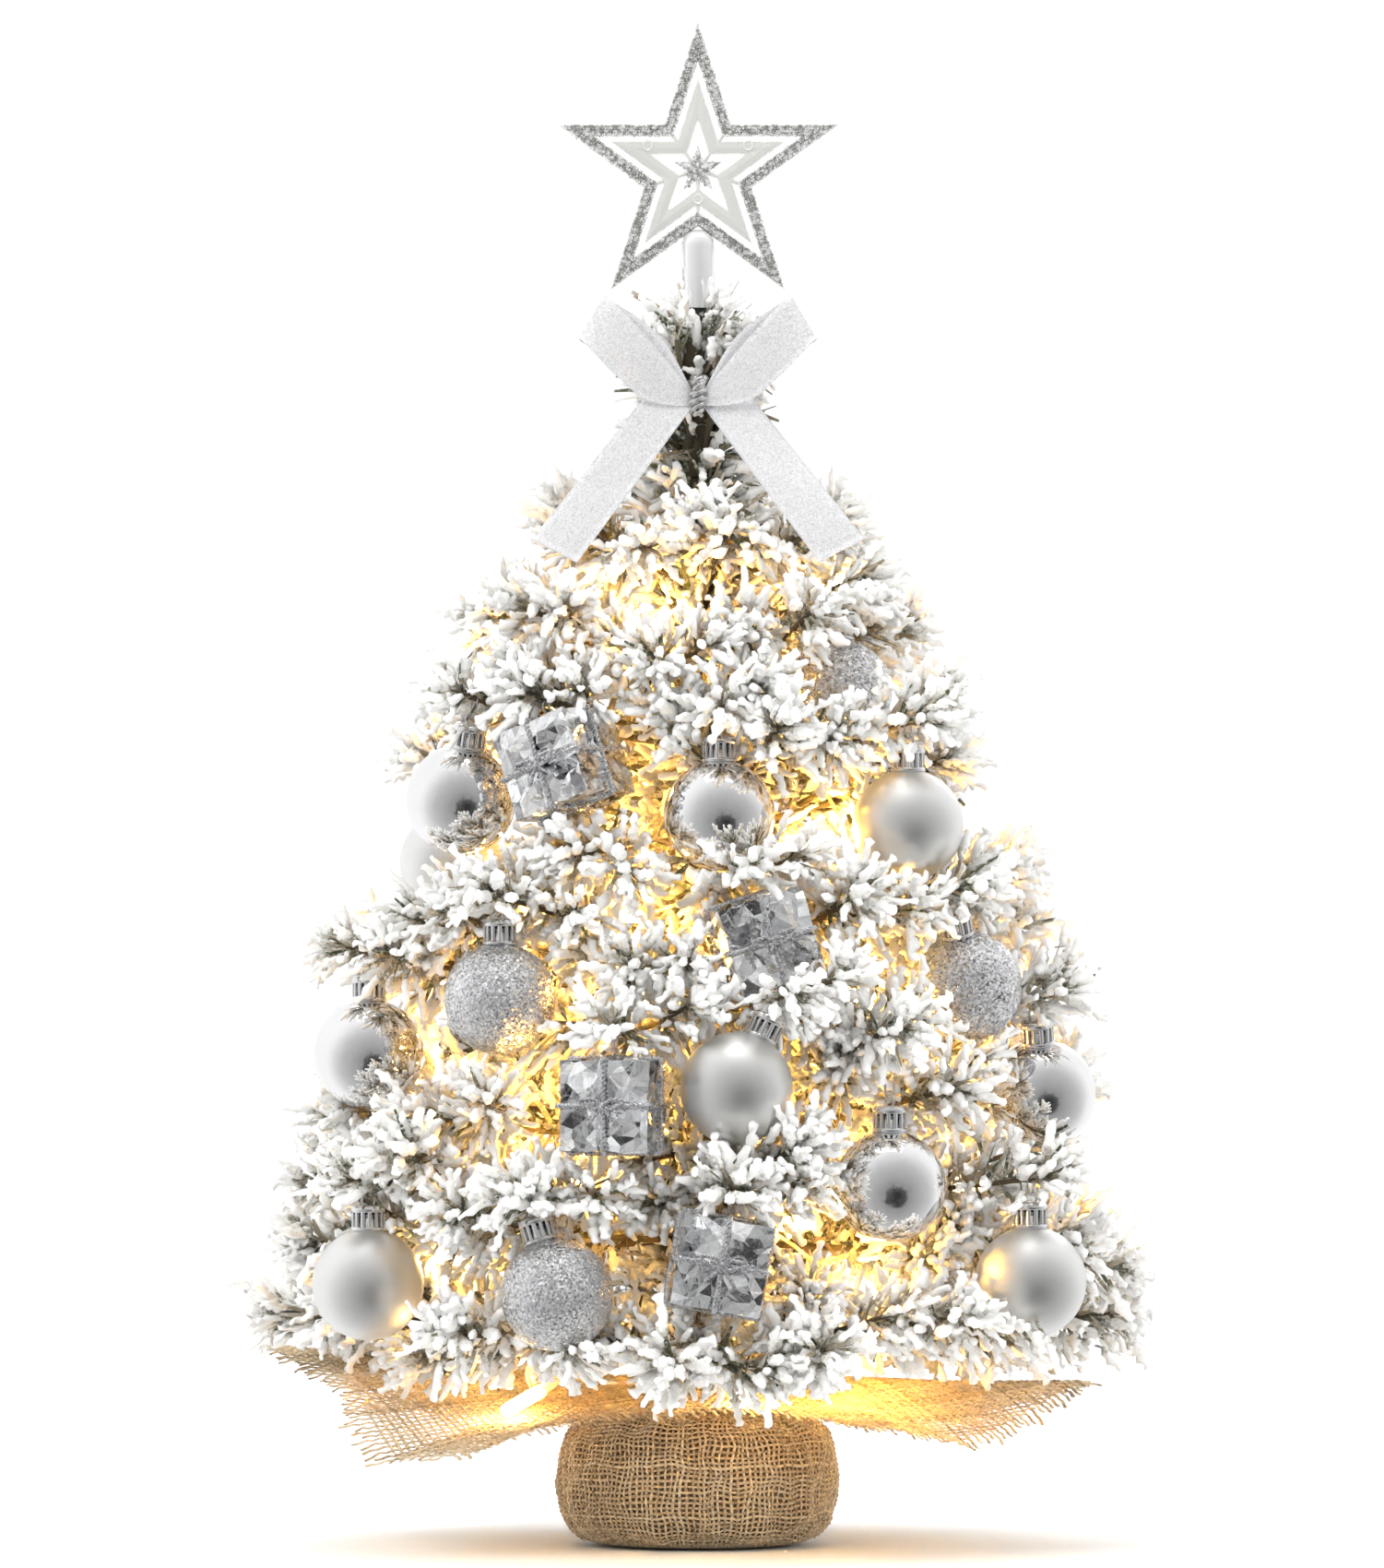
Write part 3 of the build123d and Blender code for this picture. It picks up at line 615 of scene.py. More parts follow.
class Needles:
    """Collects flocked PVC needles for one piece and turns them into one mesh."""

    def __init__(self):
        self.base, self.dir, self.wide, self.length, self.width, self.start, self.fat = (
            [] for _ in range(7)
        )

    def add(self, base, direction, length, width, start, fat, roll):
        """One needle: its flock starts at a share of its length, and 1 leaves it bare."""
        self.base.append(base)
        d = unit(direction)
        ref = np.array([0, 0, 1.0]) if abs(d[2]) < 0.9 else np.array([1.0, 0, 0])
        a = unit(np.cross(d, ref))
        b = np.cross(d, a)
        self.dir.append(d)
        self.wide.append(a * math.cos(roll) + b * math.sin(roll))
        self.length.append(length)
        self.width.append(width)
        self.start.append(start)
        self.fat.append(fat)

    def spray(self, p0, p1, spacing, length, flocked, tip_burst, open_first=74, open_last=34):
        """Needles all round the wire from p0 to p1, opening less towards the tip."""
        p0, p1 = np.asarray(p0, float), np.asarray(p1, float)
        run = np.linalg.norm(p1 - p0)
        axis = unit(p1 - p0)
        ref = np.array([0, 0, 1.0]) if abs(axis[2]) < 0.9 else np.array([1.0, 0, 0])
        a = unit(np.cross(axis, ref))
        b = np.cross(axis, a)
        count = int(run / spacing)
        turn = rng.uniform(0, 2 * math.pi)
        for i in range(count + tip_burst):
            t = min(1.0, (i + rng.uniform(-0.4, 0.4)) / max(count, 1))
            last = i >= count
            turn += NEEDLE_TURN + rng.normal(0, 0.35)
            opening = open_first + (open_last - open_first) * max(t, 0) + rng.normal(0, 15)
            if last:
                opening = rng.uniform(4, 62)
            o = math.radians(max(3.0, opening))
            around = a * math.cos(turn) + b * math.sin(turn)
            d = axis * math.cos(o) + around * math.sin(o)
            d = d + np.array([0, 0, rng.normal(-0.02, 0.06)])
            bare = rng.random() > flocked
            size = length * (rng.uniform(0.55, 0.85) if bare else rng.uniform(0.74, 1.14))
            self.add(
                p0 + axis * run * np.clip(t, 0, 1), d, size, rng.uniform(1.3, 2.0),
                1.0 if bare else rng.uniform(0.26, 0.58), rng.uniform(1.05, 1.85),
                rng.uniform(0, math.pi)
            )

    def dress(self, low, high, count, length, flocked):
        """Short needles that stand out of the wrapped pole between two heights."""
        for _ in range(count):
            azimuth = rng.uniform(0, 360)
            out = polar(azimuth, 1.0, 0.0)
            side = polar(azimuth + 90, 1.0, 0.0)
            d = out * rng.uniform(0.5, 1.0) + side * rng.normal(0, 0.5)
            d = d + np.array([0, 0, rng.uniform(-0.5, 1.1)])
            bare = rng.random() > flocked
            self.add(out * 6.2 + np.array([0, 0, rng.uniform(low, high)]), d,
                     length * rng.uniform(0.7, 1.2), rng.uniform(1.4, 2.4),
                     1.0 if bare else rng.uniform(0.15, 0.5), rng.uniform(1.1, 1.9),
                     rng.uniform(0, math.pi))

    def piece(self, name, extra=None):
        """One mesh of every needle that stays clear of the ornaments, and of the stems."""
        base = np.array(self.base)
        d = np.array(self.dir)
        w = np.array(self.wide)
        length = np.array(self.length)
        width = np.array(self.width)
        start = np.array(self.start)
        fat = np.array(self.fat)
        keep = np.ones(len(base), bool)
        for t in (0.35, 0.6, 0.8, 1.0):
            p = base + d * (length * t)[:, None]
            for c, r in keep_out:
                keep &= np.linalg.norm(p - c, axis=1) > r + 0.8
            keep &= ~in_bow(p)
            keep &= p[:, 2] > LOWEST
            keep &= np.hypot(p[:, 0], p[:, 1]) < WIDEST
        base, d, w, length, width, start, fat = (
            x[keep] for x in (base, d, w, length, width, start, fat)
        )
        n = len(base)
        up = np.cross(d, w)
        bend = rng.normal(0, 0.17, n) * length
        bend_w = rng.normal(0, 0.09, n) * length
        tint = rng.random(n)

        def at(t):
            return base + d * (length * t)[:, None] + up * (bend * t * t)[:, None] + w * (
                bend_w * t * t)[:, None]

        verts, faces, mats, tints, alongs = [], [], [], [], []
        # the flat strip
        stations = (0.0, 0.33, 0.66, 1.0)
        reach = np.where(start >= 1.0, 1.0, np.minimum(start + 0.15, 1.0))
        grid = []
        for s in stations:
            half = width * 0.5 * (1.0 if s < 0.9 else 0.55)
            c = at(reach * s)
            grid.append(np.stack([c - w * half[:, None], c + w * half[:, None]], 1))
        strip = np.concatenate(grid, 1).reshape(-1, 3)
        q = np.array([[0, 1, 3, 2], [2, 3, 5, 4], [4, 5, 7, 6]])
        f = (np.arange(n)[:, None, None] * 8 + q[None]).reshape(-1, 4)
        verts.append(strip)
        faces.append(f)
        mats.append(np.ones(len(f)))
        tints.append(np.repeat(tint, 8))
        alongs.append(np.tile(np.repeat(stations, 2), n))
        # the lump of flock round the outer part
        has = np.where(start < 1.0)[0]
        m = len(has)
        shape = np.array([0.42, 0.98, 0.98, 1.02, 1.08, 1.02, 0.80])
        rows = []
        for i in range(RINGS):
            t = i / (RINGS - 1)
            pos = start[has] + (1.03 - start[has]) * t
            c = (base[has] + d[has] * (length[has] * pos)[:, None]
                 + up[has] * (bend[has] * pos * pos + rng.normal(0, 0.5, m))[:, None]
                 + w[has] * (bend_w[has] * pos * pos + rng.normal(0, 0.35, m))[:, None])
            lump = shape[i] * fat[has] * (1.0 + 0.24 * (-1) ** i) * rng.uniform(0.68, 1.34, m)
            ring = []
            for k in range(SIDES):
                a = 2 * math.pi * k / SIDES
                r = lump * rng.uniform(0.74, 1.24, m)
                ring.append(
                    c + w[has] * (r * math.cos(a) * 1.12)[:, None]
                    + up[has] * (r * math.sin(a) * 0.82)[:, None]
                )
            rows.append(np.stack(ring, 1))
        end = base[has] + d[has] * (length[has] * 1.03 + fat[has] * 0.5)[:, None] + up[has] * (
            bend[has])[:, None] + w[has] * bend_w[has][:, None]
        flock = np.concatenate(rows + [end[:, None]], 1)
        per = RINGS * SIDES + 1
        wall = np.array(quads(RINGS, SIDES))
        last = (RINGS - 1) * SIDES
        tip = np.array([[last + k, last + (k + 1) % SIDES, per - 1] for k in range(SIDES)])
        off = len(strip)
        fq = (np.arange(m)[:, None, None] * per + wall[None]).reshape(-1, 4) + off
        ft = (np.arange(m)[:, None, None] * per + tip[None]).reshape(-1, 3) + off
        verts.append(flock.reshape(-1, 3))
        tints.append(np.repeat(tint[has], per))
        # along runs from 0 at a lump's root to 1 at its tip; the flock material paints shade at the root
        # from it
        ring_t = np.concatenate([np.repeat(np.arange(RINGS) / (RINGS - 1), SIDES), [1.0]])
        alongs.append(np.tile(ring_t, m))
        mats.append(np.zeros(len(fq)))
        mats.append(np.zeros(len(ft)))
        verts = np.concatenate(verts)
        faces = np.concatenate(faces).tolist() + fq.tolist() + ft.tolist()
        face_mat = np.concatenate(mats)
        tints = np.concatenate(tints)
        alongs = np.concatenate(alongs)
        if extra is not None and extra.n:
            ev = np.concatenate(extra.v)
            faces += [[i + len(verts) for i in g] for g in extra.f]
            verts = np.concatenate([verts, ev])
            face_mat = np.concatenate([face_mat, np.full(len(extra.f), 2)])
            tints = np.concatenate([tints, np.full(len(ev), 0.5)])
            alongs = np.concatenate([alongs, np.full(len(ev), 0.5)])
        return mesh_piece(name, verts, faces, [FLOCK, STRIP, STEM], face_mat, True,
                          {"tint": tints, "along": alongs})


def limb(needles, stems, start, end, side_tips=2, fine=1.0, reach_full=1.0):
    """One branch: wrapped wire, sparse inner needles, a full tip and its side tips."""
    start, end = np.asarray(start, float), np.asarray(end, float)
    axis = unit(end - start)
    length = np.linalg.norm(end - start)
    line = np.array([start + axis * length * t + np.array([0, 0, -3.0 * math.sin(math.pi * t)])
                     for t in np.linspace(0, 1, 7)])
    stems.add(*tube(line, np.linspace(1.5, 0.9, 7), 6))
    inner = start + axis * length * 0.22
    middle = start + axis * length * 0.64
    needles.spray(inner, middle, 1.25 * fine, 20, 0.20, 0, 72, 58)
    needles.spray(middle, end - axis * 4, 0.66 * fine, 21, 0.84, 18, 76, 40)
    flat = unit(np.cross(axis, [0, 0, 1.0]))
    for k in range(side_tips):
        side = 1 if k % 2 == 0 else -1
        t = (0.50, 0.66, 0.40)[k] + rng.uniform(-0.05, 0.05)
        origin = start + axis * length * t
        turn = math.radians(rng.uniform(32, 50))
        rise = rng.uniform(-0.22, 0.42)
        d = unit(axis * math.cos(turn) + flat * side * math.sin(turn) + np.array([0, 0, rise]))
        run = length * rng.uniform(0.30, 0.40) * reach_full
        tip = origin + d * run
        stems.add(*tube([origin, origin + d * run * 0.5, tip], [1.1, 1.0, 0.8], 6))
        needles.spray(origin + d * run * 0.42, tip, 0.72 * fine, 20, 0.82, 16, 74, 38)


carried = {}
for table, eye in ((BALLS, EYE_Z), (GIFTS, BOX_EYE)):
    for name, centre, lean, gap, tier in table:
        out, up, hang = hang_frame(centre, lean, eye + gap + 1.2)
        carried.setdefault(tier, []).append((hang, out))

for name, root_z, tips in TIERS:
    needles, stems = Needles(), Builder()
    low, high = SLEEVES[name]
    for azimuth, reach, tip_z in tips:
        small = name in ("branches_tier_6", "branches_tier_7")
        limb(needles, stems, polar(azimuth, 5.8, root_z), polar(azimuth, reach, tip_z),
             3, 1.0, 0.9 if small else 1.0)
    for hang, out in carried.get(name, []):
        reach = math.hypot(hang[0], hang[1])
        root = min(max(hang[2] - 0.12 * reach, low + 2), high - 2)
        start = np.array([out[0] * 5.8, out[1] * 5.8, root])
        end = hang + unit(hang - start) * 9.0
        limb(needles, stems, start, end, 2, 1.1, 0.8)
    sleeve, faces = lathe([(6.6, low), (6.9, (low + high) / 2), (6.6, high)], 20)
    needles.dress(low, high, int((high - low) * 5), 21, 0.5)
    stems.add(sleeve, faces)
    o = needles.piece(name.replace("branches", "foliage"), stems)
    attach(o, "tree")
    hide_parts(name)

for name, azimuth in BENDING:
    needles, stems = Needles(), Builder()
    limb(needles, stems, polar(azimuth, 8.6, 75.0), polar(azimuth, 155.0, 86.0), 3)
    o = needles.piece(name.replace("branch", "foliage"), stems)
    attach(o, name + "_body")
    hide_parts(name)

# the leader: flatter, darker strips that stand up round the treetop
needles, stems = Needles(), Builder()
needles.spray((0, 0, 380), (0, 0, 449), 0.30, 23, 0.60, 0, 74, 48)
for k in range(8):
    azimuth = 22 + 45 * k
    base = polar(azimuth, 5.8, 398 + 5 * (k % 3))
    tip = polar(azimuth, 20, 436 + 6 * (k % 2))
    stems.add(*tube([base, (base + tip) / 2, tip], [1.2, 1.1, 0.9], 6))
    needles.spray(base + (tip - base) * 0.2, tip, 1.1, 15, 0.65, 5, 66, 40)
needles.dress(372, 449, 330, 22, 0.42)
stems.add(*lathe([(6.6, 392.5), (6.8, 420), (6.6, 449.4)], 20))
o = needles.piece("foliage_leader", stems)
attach(o, "tree")
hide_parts("treetop_leader")


# ---------------------------------------------------------------- balls
def sphere_mesh(radius, rings=40, sides=64):
    profile = [(radius * math.sin(math.pi * i / rings), -radius * math.cos(math.pi * i / rings))
               for i in range(rings + 1)]
    return lathe(profile, sides)


def ico(radius, jitter):
    bpy.ops.mesh.primitive_ico_sphere_add(subdivisions=6, radius=radius)
    o = bpy.context.object
    v = np.array([x.co[:] for x in o.data.vertices])
    f = [list(p.vertices) for p in o.data.polygons]
    bpy.data.objects.remove(o, do_unlink=True)
    v = v * (1 + rng.uniform(-jitter, jitter, (len(v), 1)) / radius)
    return v, f


def cap_parts(b, mat_cap):
    """Slotted cap: a ring at the foot, a ring of pillars, the closed top, and the wire eye."""
    b.add(*lathe([(5.6, 19.2), (6.2, 19.2), (6.35, 19.8), (6.2, 20.6), (5.6, 20.6)], 40), mat_cap)
    for k in range(14):
        a0 = 2 * math.pi * k / 14
        half = math.pi / 14 * 0.56
        ring = []
        for z in (20.3, 23.0, 26.2):
            for r in (5.35, 6.0):
                for s in (-1, 1):
                    ring.append((r * math.cos(a0 + s * half), r * math.sin(a0 + s * half), z))
        faces = []
        for i in range(2):
            a = i * 4
            faces += [[a + 2, a + 3, a + 7, a + 6], [a, a + 4, a + 5, a + 1],
                      [a, a + 2, a + 6, a + 4], [a + 1, a + 5, a + 7, a + 3]]
        b.add(ring, faces, mat_cap)
    b.add(*lathe([(5.2, 25.8), (6.1, 25.8), (6.25, 26.6), (6.0, 27.7), (5.2, 28.4), (2.0, 28.6),
                  (0.0, 28.6)], 40), mat_cap)
    b.add(*lathe([(5.0, 18.0), (5.0, 26.0), (0, 26.0)], 32), mat_cap)
    eye = [(0, 2.6 * math.cos(t), EYE_Z + 2.6 * math.sin(t))
           for t in np.linspace(0, 2 * math.pi, 25)[:-1]]
    b.add(*tube(eye, 0.5, 8, closed=True), mat_cap)


def thread(b, low, high, mat):
    """Two twisted strands that run from the eye, over the twig, and back."""
    half = (high - low) / 2
    middle = (high + low) / 2
    straight = half - 1.8
    for phase in (0, math.pi):
        pts = []
        for t in np.linspace(0, 1, 73)[:-1]:
            a = 2 * math.pi * t
            x = 1.95 * math.cos(a)
            z = 1.95 * math.sin(a) + (straight if math.sin(a) > 0 else -straight)
            twist = 60 * math.pi * t + phase
            pts.append((x + 0.28 * math.cos(twist), 0.28 * math.sin(twist), middle + z))
        b.add(*tube(pts, 0.26, 5, closed=True), mat)


for name, centre, lean, gap, tier in BALLS:
    out, up, hang = hang_frame(centre, lean, 1)
    x = unit(np.cross(-out, up))
    y = np.cross(up, x)
    b = Builder()
    if name.startswith("glitter"):
        v, f = ico(BALL_R - 0.1, 0.16)
    else:
        v, f = sphere_mesh(BALL_R)
    b.add(v, f, 0)
    cap_parts(b, 1)
    thread(b, EYE_Z + 1.2, EYE_Z + gap + 3.0, 2)
    b.v = [to_frame(part, centre, x, y, up) for part in b.v]
    skin = {"s": SHINY, "m": MATTE, "g": GLITTER}[name[0]]
    o = b.piece(name + "_ornament", [skin, CAP, THREAD], True)
    if name.startswith("glitter"):
        flat = np.ones(len(o.data.polygons), bool)
        flat[:len(f)] = False
        o.data.polygons.foreach_set("use_smooth", flat)
    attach(o, name + "_body")
    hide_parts(name)


# ---------------------------------------------------------------- foil gift boxes
FOIL_GRID = 7


def foil_box(seed):
    """A box of crumpled foil: a jittered grid on each face, creased flat between its points."""
    local = np.random.default_rng(seed)
    n = FOIL_GRID
    h = BOX / 2
    verts, faces, index = [], [], {}

    def corner(p):
        key = tuple(np.round(p, 3))
        if key not in index:
            q = np.array(p, float)
            edge = np.sum(np.abs(np.abs(q) - h) < 1e-6)
            q = q + local.normal(0, 0.7 if edge == 1 else 0.22, 3)
            if edge >= 2:
                q = q * (0.995 if edge == 2 else 0.985)
            else:
                axis = int(np.argmax(np.abs(np.array(p))))
                q[axis] += math.copysign(local.uniform(-0.8, 0.5), q[axis])
            q = np.clip(q, -h - 0.9, h + 0.9)
            index[key] = len(verts)
            verts.append(q)
        return index[key]

    for axis in range(3):
        for side in (-h, h):
            for i in range(n):
                for j in range(n):
                    quad = []
                    for di, dj in ((0, 0), (1, 0), (1, 1), (0, 1)):
                        p = [0, 0, 0]
                        p[axis] = side
                        p[(axis + 1) % 3] = -h + BOX * (i + di) / n
                        p[(axis + 2) % 3] = -h + BOX * (j + dj) / n
                        quad.append(corner(p))
                    if side < 0:
                        quad = quad[::-1]
                    if local.random() < 0.5:
                        faces += [[quad[0], quad[1], quad[2]], [quad[0], quad[2], quad[3]]]
                    else:
                        faces += [[quad[0], quad[1], quad[3]], [quad[1], quad[2], quad[3]]]
    return np.array(verts), faces


def cord_run(b, points, mat, radius=0.80):
    """Two tinsel strands twisted round a line."""
    p = np.asarray(points, float)
    seg = np.concatenate([[0], np.cumsum(np.linalg.norm(np.diff(p, axis=0), axis=1))])
    t = np.linspace(0, seg[-1], max(8, int(seg[-1] / 0.9)))
    line = np.stack([np.interp(t, seg, p[:, i]) for i in range(3)], 1)
    tang = rows_unit(np.gradient(line, axis=0))
    side = rows_unit(np.cross(tang, np.array([0.3, 0.9, 0.2])))
    other = np.cross(tang, side)
    for phase in (0, math.pi):
        a = t * 1.9 + phase
        v, f = tube(line + 0.45 * (side * np.cos(a)[:, None] + other * np.sin(a)[:, None]), radius, 5)
        b.add(v, f, mat)


for number, (name, centre, lean, gap, tier) in enumerate(GIFTS):
    out, up, hang = hang_frame(centre, lean, 1)
    x = unit(np.cross(-out, up))
    y = np.cross(up, x)
    b = Builder()
    v, f = foil_box(40 + number)
    b.add(v, f, 0)
    h = BOX / 2 + 0.7
    loop_a = [(-h, 0, -h), (h, 0, -h), (h, 0, h), (-h, 0, h), (-h, 0, -h)]
    loop_b = [(0, -h, -h), (0, h, -h), (0, h, h), (0, -h, h), (0, -h, -h)]
    cord_run(b, loop_a, 1)
    cord_run(b, loop_b, 1)
    loop_c = [(-h, -h, 0), (h, -h, 0), (h, h, 0), (-h, h, 0), (-h, -h, 0)]
    cord_run(b, loop_c, 1)
    # small bow on the front face, at the crossing
    for sx in (-1, 1):
        pts = [(0, -h - 0.4, 0)]
        for t in np.linspace(0.1, 0.9, 9):
            a = math.pi * t
            pts.append((sx * 8.5 * math.sin(a), -h - 1.4 - 1.2 * math.sin(a),
                        4.4 * (t - 0.5) + 1.75 * math.sin(a)))
        pts.append((0, -h - 0.4, 0))
        cord_run(b, pts, 1, 0.5)
    for sx in (-1, 1):
        cord_run(b, [(0, -h - 0.8, 0), (sx * 2.5, -h - 1.6, -3.2), (sx * 5.4, -h - 1.0, -6.5)], 1, 0.5)
    v, f = sphere_mesh(1.5, 8, 10)
    b.add(v * (1, 0.8, 1) + (0, -h - 0.8, 0), f, 1)
    eye = [(0, 2.4 * math.cos(t), BOX / 2 + 6.0 + 2.4 * math.sin(t))
           for t in np.linspace(0, 2 * math.pi, 21)[:-1]]
    b.add(*tube(eye, 0.5, 6, closed=True), 2)
    cord_run(b, [(0, 0, h - 0.6), (0.4, 0, h + 3.4)], 1, 0.5)
    thread(b, BOX / 2 + 7.6, BOX_EYE + gap + 4.2, 2)
    b.v = [to_frame(part, centre, x, y, up) for part in b.v]
    o = b.piece(name + "_ornament", [FOIL, FOIL_CORD, THREAD], True)
    smooth = np.ones(len(o.data.polygons), bool)
    smooth[:FOIL_GRID * FOIL_GRID * 2 * 6] = False
    o.data.polygons.foreach_set("use_smooth", smooth)
    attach(o, name + "_body")
    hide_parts(name)


# ---------------------------------------------------------------- star topper
def star_outline(radius):
    pts = []
    for k in range(10):
        r = radius if k % 2 == 0 else radius * NOTCH
        a = math.radians(90 + 36 * k)
        pts.append((r * math.cos(a), r * math.sin(a)))
    return np.array(pts)


def star_band(b, outer, inner, half, ridge, mat):
    """A star-shaped band with bevelled edges and a raised middle line."""
    steps = [(outer, half - 0.5), (outer - 1.0, half), ((outer + inner) / 2, half + ridge),
             (inner + 1.0, half), (inner, half - 0.5)]
    rows = [(r, -y) for r, y in steps] + [(r, y) for r, y in steps[::-1]]
    verts = [(px, y, pz + STAR_Z) for r, y in rows for px, pz in star_outline(r)]
    b.add(verts, quads(len(rows), 10, closed=True), mat)


def stud(b, at, y, radius, mat, side):
    """A faceted rhinestone: a low six-sided gem with a small table on top."""
    a = np.linspace(0, 2 * math.pi, 7)[:-1] + rng.uniform(0, 1)
    low = [(at[0] + radius * math.cos(t), y, at[1] + radius * math.sin(t)) for t in a]
    top = [(at[0] + radius * 0.45 * math.cos(t + 0.5), y + side * 0.75,
            at[1] + radius * 0.45 * math.sin(t + 0.5)) for t in a]
    faces = [[6, 7, 8, 9, 10, 11]]
    for k in range(6):
        q = (k + 1) % 6
        faces += [[k, q, 6 + k], [q, 6 + q, 6 + k]]
    b.add(low + top, faces, mat)


b = Builder()
star_band(b, STAR_R, STAR_R - 14.0, 1.5, 0.0, 0)
outer_line, inner_line = star_outline(STAR_R), star_outline(STAR_R - 14.0)
for k in range(10):
    p0, p1 = outer_line[k], outer_line[(k + 1) % 10]
    q0, q1 = inner_line[k], inner_line[(k + 1) % 10]
    steps = int(np.linalg.norm(p1 - p0) / 1.25)
    for i in range(steps):
        for j, share in enumerate((0.14, 0.38, 0.62, 0.86)):
            t = (i + 0.5 + 0.5 * (j % 2)) / steps
            if t > 1:
                continue
            a = p0 + (p1 - p0) * t
            c = q0 + (q1 - q0) * t
            at = a + (c - a) * share + rng.normal(0, 0.10, 2)
            for side in (-1, 1):
                stud(b, (at[0], at[1] + STAR_Z), side * 1.45, rng.uniform(0.42, 0.74), 0, side)
# heart star
core = [(0, 0)] + [tuple(x) for x in star_outline(9.0)]
for side in (-1, 1):
    verts = [(px, side * (1.9 if i == 0 else 1.1), pz + STAR_Z) for i, (px, pz) in enumerate(core)]
    b.add(verts, [[0, 1 + k, 1 + (k + 1) % 10] for k in range(10)], 0)
    for k in range(46):
        a, r = rng.uniform(0, 2 * math.pi), rng.uniform(0, 1) ** 0.6
        sector = abs(((math.degrees(a) - 90) % 72) - 36) / 36
        limit = 9.0 * (NOTCH + (1 - NOTCH) * sector ** 1.6) * 0.9
        at = (r * limit * math.cos(a), r * limit * math.sin(a) + STAR_Z)
        stud(b, at, side * 1.35, 0.6, 0, side)
ring = star_outline(9.0)
verts = [(px, y, pz + STAR_Z) for y in (-1.1, 1.1) for px, pz in ring]
b.add(verts, quads(2, 10), 0)
star_a = b.piece("star_rhinestones", [STAR_GLITTER], False)
b = Builder()
star_band(b, STAR_R - 21.0, STAR_R - 36.0, 1.2, 0.12, 0)
for k in range(5):
    a = math.radians(54 + 72 * k)
    for r0, r1 in ((2.8, 7.4), (12.6, 16.0)):
        rod = [(r * math.cos(a), 0, r * math.sin(a) + STAR_Z) for r in (r0, r1)]
        b.add(*tube(rod, 0.8, 10), 0)
for px, pz in ((-18.6, 8.9), (18.6, 8.9), (0.0, -10.9)):
    for side in (-1, 1):
        v, f = lathe([(2.0, 0), (2.0, 0.5), (1.7, 0.65), (1.4, 0.4), (0, 0.4)], 20)
        v = np.stack([v[:, 0] + px, side * (1.0 + v[:, 2]), v[:, 1] + pz + STAR_Z], 1)
        b.add(v, f, 0)
star_b = b.piece("star_inner", [STAR_SATIN], False)
for o in (star_a, star_b):
    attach(o, "star_topper")
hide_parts("star_frame")


# ---------------------------------------------------------------- ribbon bow
def ribbon(b, rows, thick=0.5):
    """rows: list of (left edge, right edge) points; gives a thin strip with thickness."""
    across = 9
    grid = []
    for left, right in rows:
        left, right = np.asarray(left, float), np.asarray(right, float)
        for k in range(across):
            grid.append(left + (right - left) * k / (across - 1))
    grid = np.array(grid)
    n = len(rows)
    du = np.gradient(grid.reshape(n, across, 3), axis=0)
    dv = np.gradient(grid.reshape(n, across, 3), axis=1)
    normal = rows_unit(np.cross(du.reshape(-1, 3), dv.reshape(-1, 3)))
    verts = np.concatenate([grid + normal * thick / 2, grid - normal * thick / 2])
    m = n * across
    faces = []
    for i in range(n - 1):
        for k in range(across - 1):
            a = i * across + k
            faces.append([a, a + 1, a + across + 1, a + across])
            faces.append([m + a, m + a + across, m + a + across + 1, m + a + 1])
    for i in range(n - 1):
        for k in (0, across - 1):
            a, c = i * across + k, (i + 1) * across + k
            faces.append([a, c, m + c, m + a])
    for i in (0, n - 1):
        for k in range(across - 1):
            a = i * across + k
            faces.append([a, m + a, m + a + 1, a + 1])
    b.add(verts, faces, 0)
    middle = grid.reshape(n, across, 3)[:, across // 2]
    return float(np.linalg.norm(np.diff(middle, axis=0), axis=1).sum())


LOOP_EDGE = (0.0, 0.15, 0.30, 0.65, 1.0)
LOOP_UPPER = ((1.5, 421.3), (5.0, 425.6), (10.0, 431.5), (21.5, 444.6), (33.7, 457.3))
LOOP_LOWER = ((1.5, 416.6), (11.0, 416.9), (20.2, 418.7), (31.8, 429.0), (43.2, 441.3))


def bow_loop(side):
    """From the knot out along the front, round the end of the loop, and back behind."""
    rows = []
    for t in np.linspace(0, 1, 49):
        turn = 2 * math.pi * t
        reach = min(1.0, 1.05 * ((1 - math.cos(turn)) / 2) ** 0.8)
        depth = 9.0 * math.sin(turn) * (0.25 + 0.75 * reach ** 0.7)
        back = max(0.0, -math.sin(turn)) * math.sin(math.pi * min(reach, 1.0))
        edges = []
        for table, swell in ((LOOP_UPPER, 0.7), (LOOP_LOWER, -0.7)):
            x = np.interp(reach, LOOP_EDGE, [p[0] for p in table]) - 3.4 * back
            z = np.interp(reach, LOOP_EDGE, [p[1] for p in table]) + 3.0 * back
            edges.append(np.array([side * x, BOW_Y - 1.5 - depth - swell * reach, z]))
        rows.append(tuple(edges))
    return rows


def bow_tail(side):
    rows = []
    for t in np.linspace(0, 1, 26):
        left = np.array([side * (20.0 + 40.5 * t), BOW_Y - 1.0 - 16 * t, 419.6 - 52.5 * t])
        right = np.array([side * (1.2 + 42.9 * t), BOW_Y - 0.5 - 17 * t, 417.6 - 59.2 * t])
        wave = np.array([0, 1.6 * math.sin(t * 4.2 + side), 0])
        rows.append((left + wave, right + wave * 0.6))
    return rows


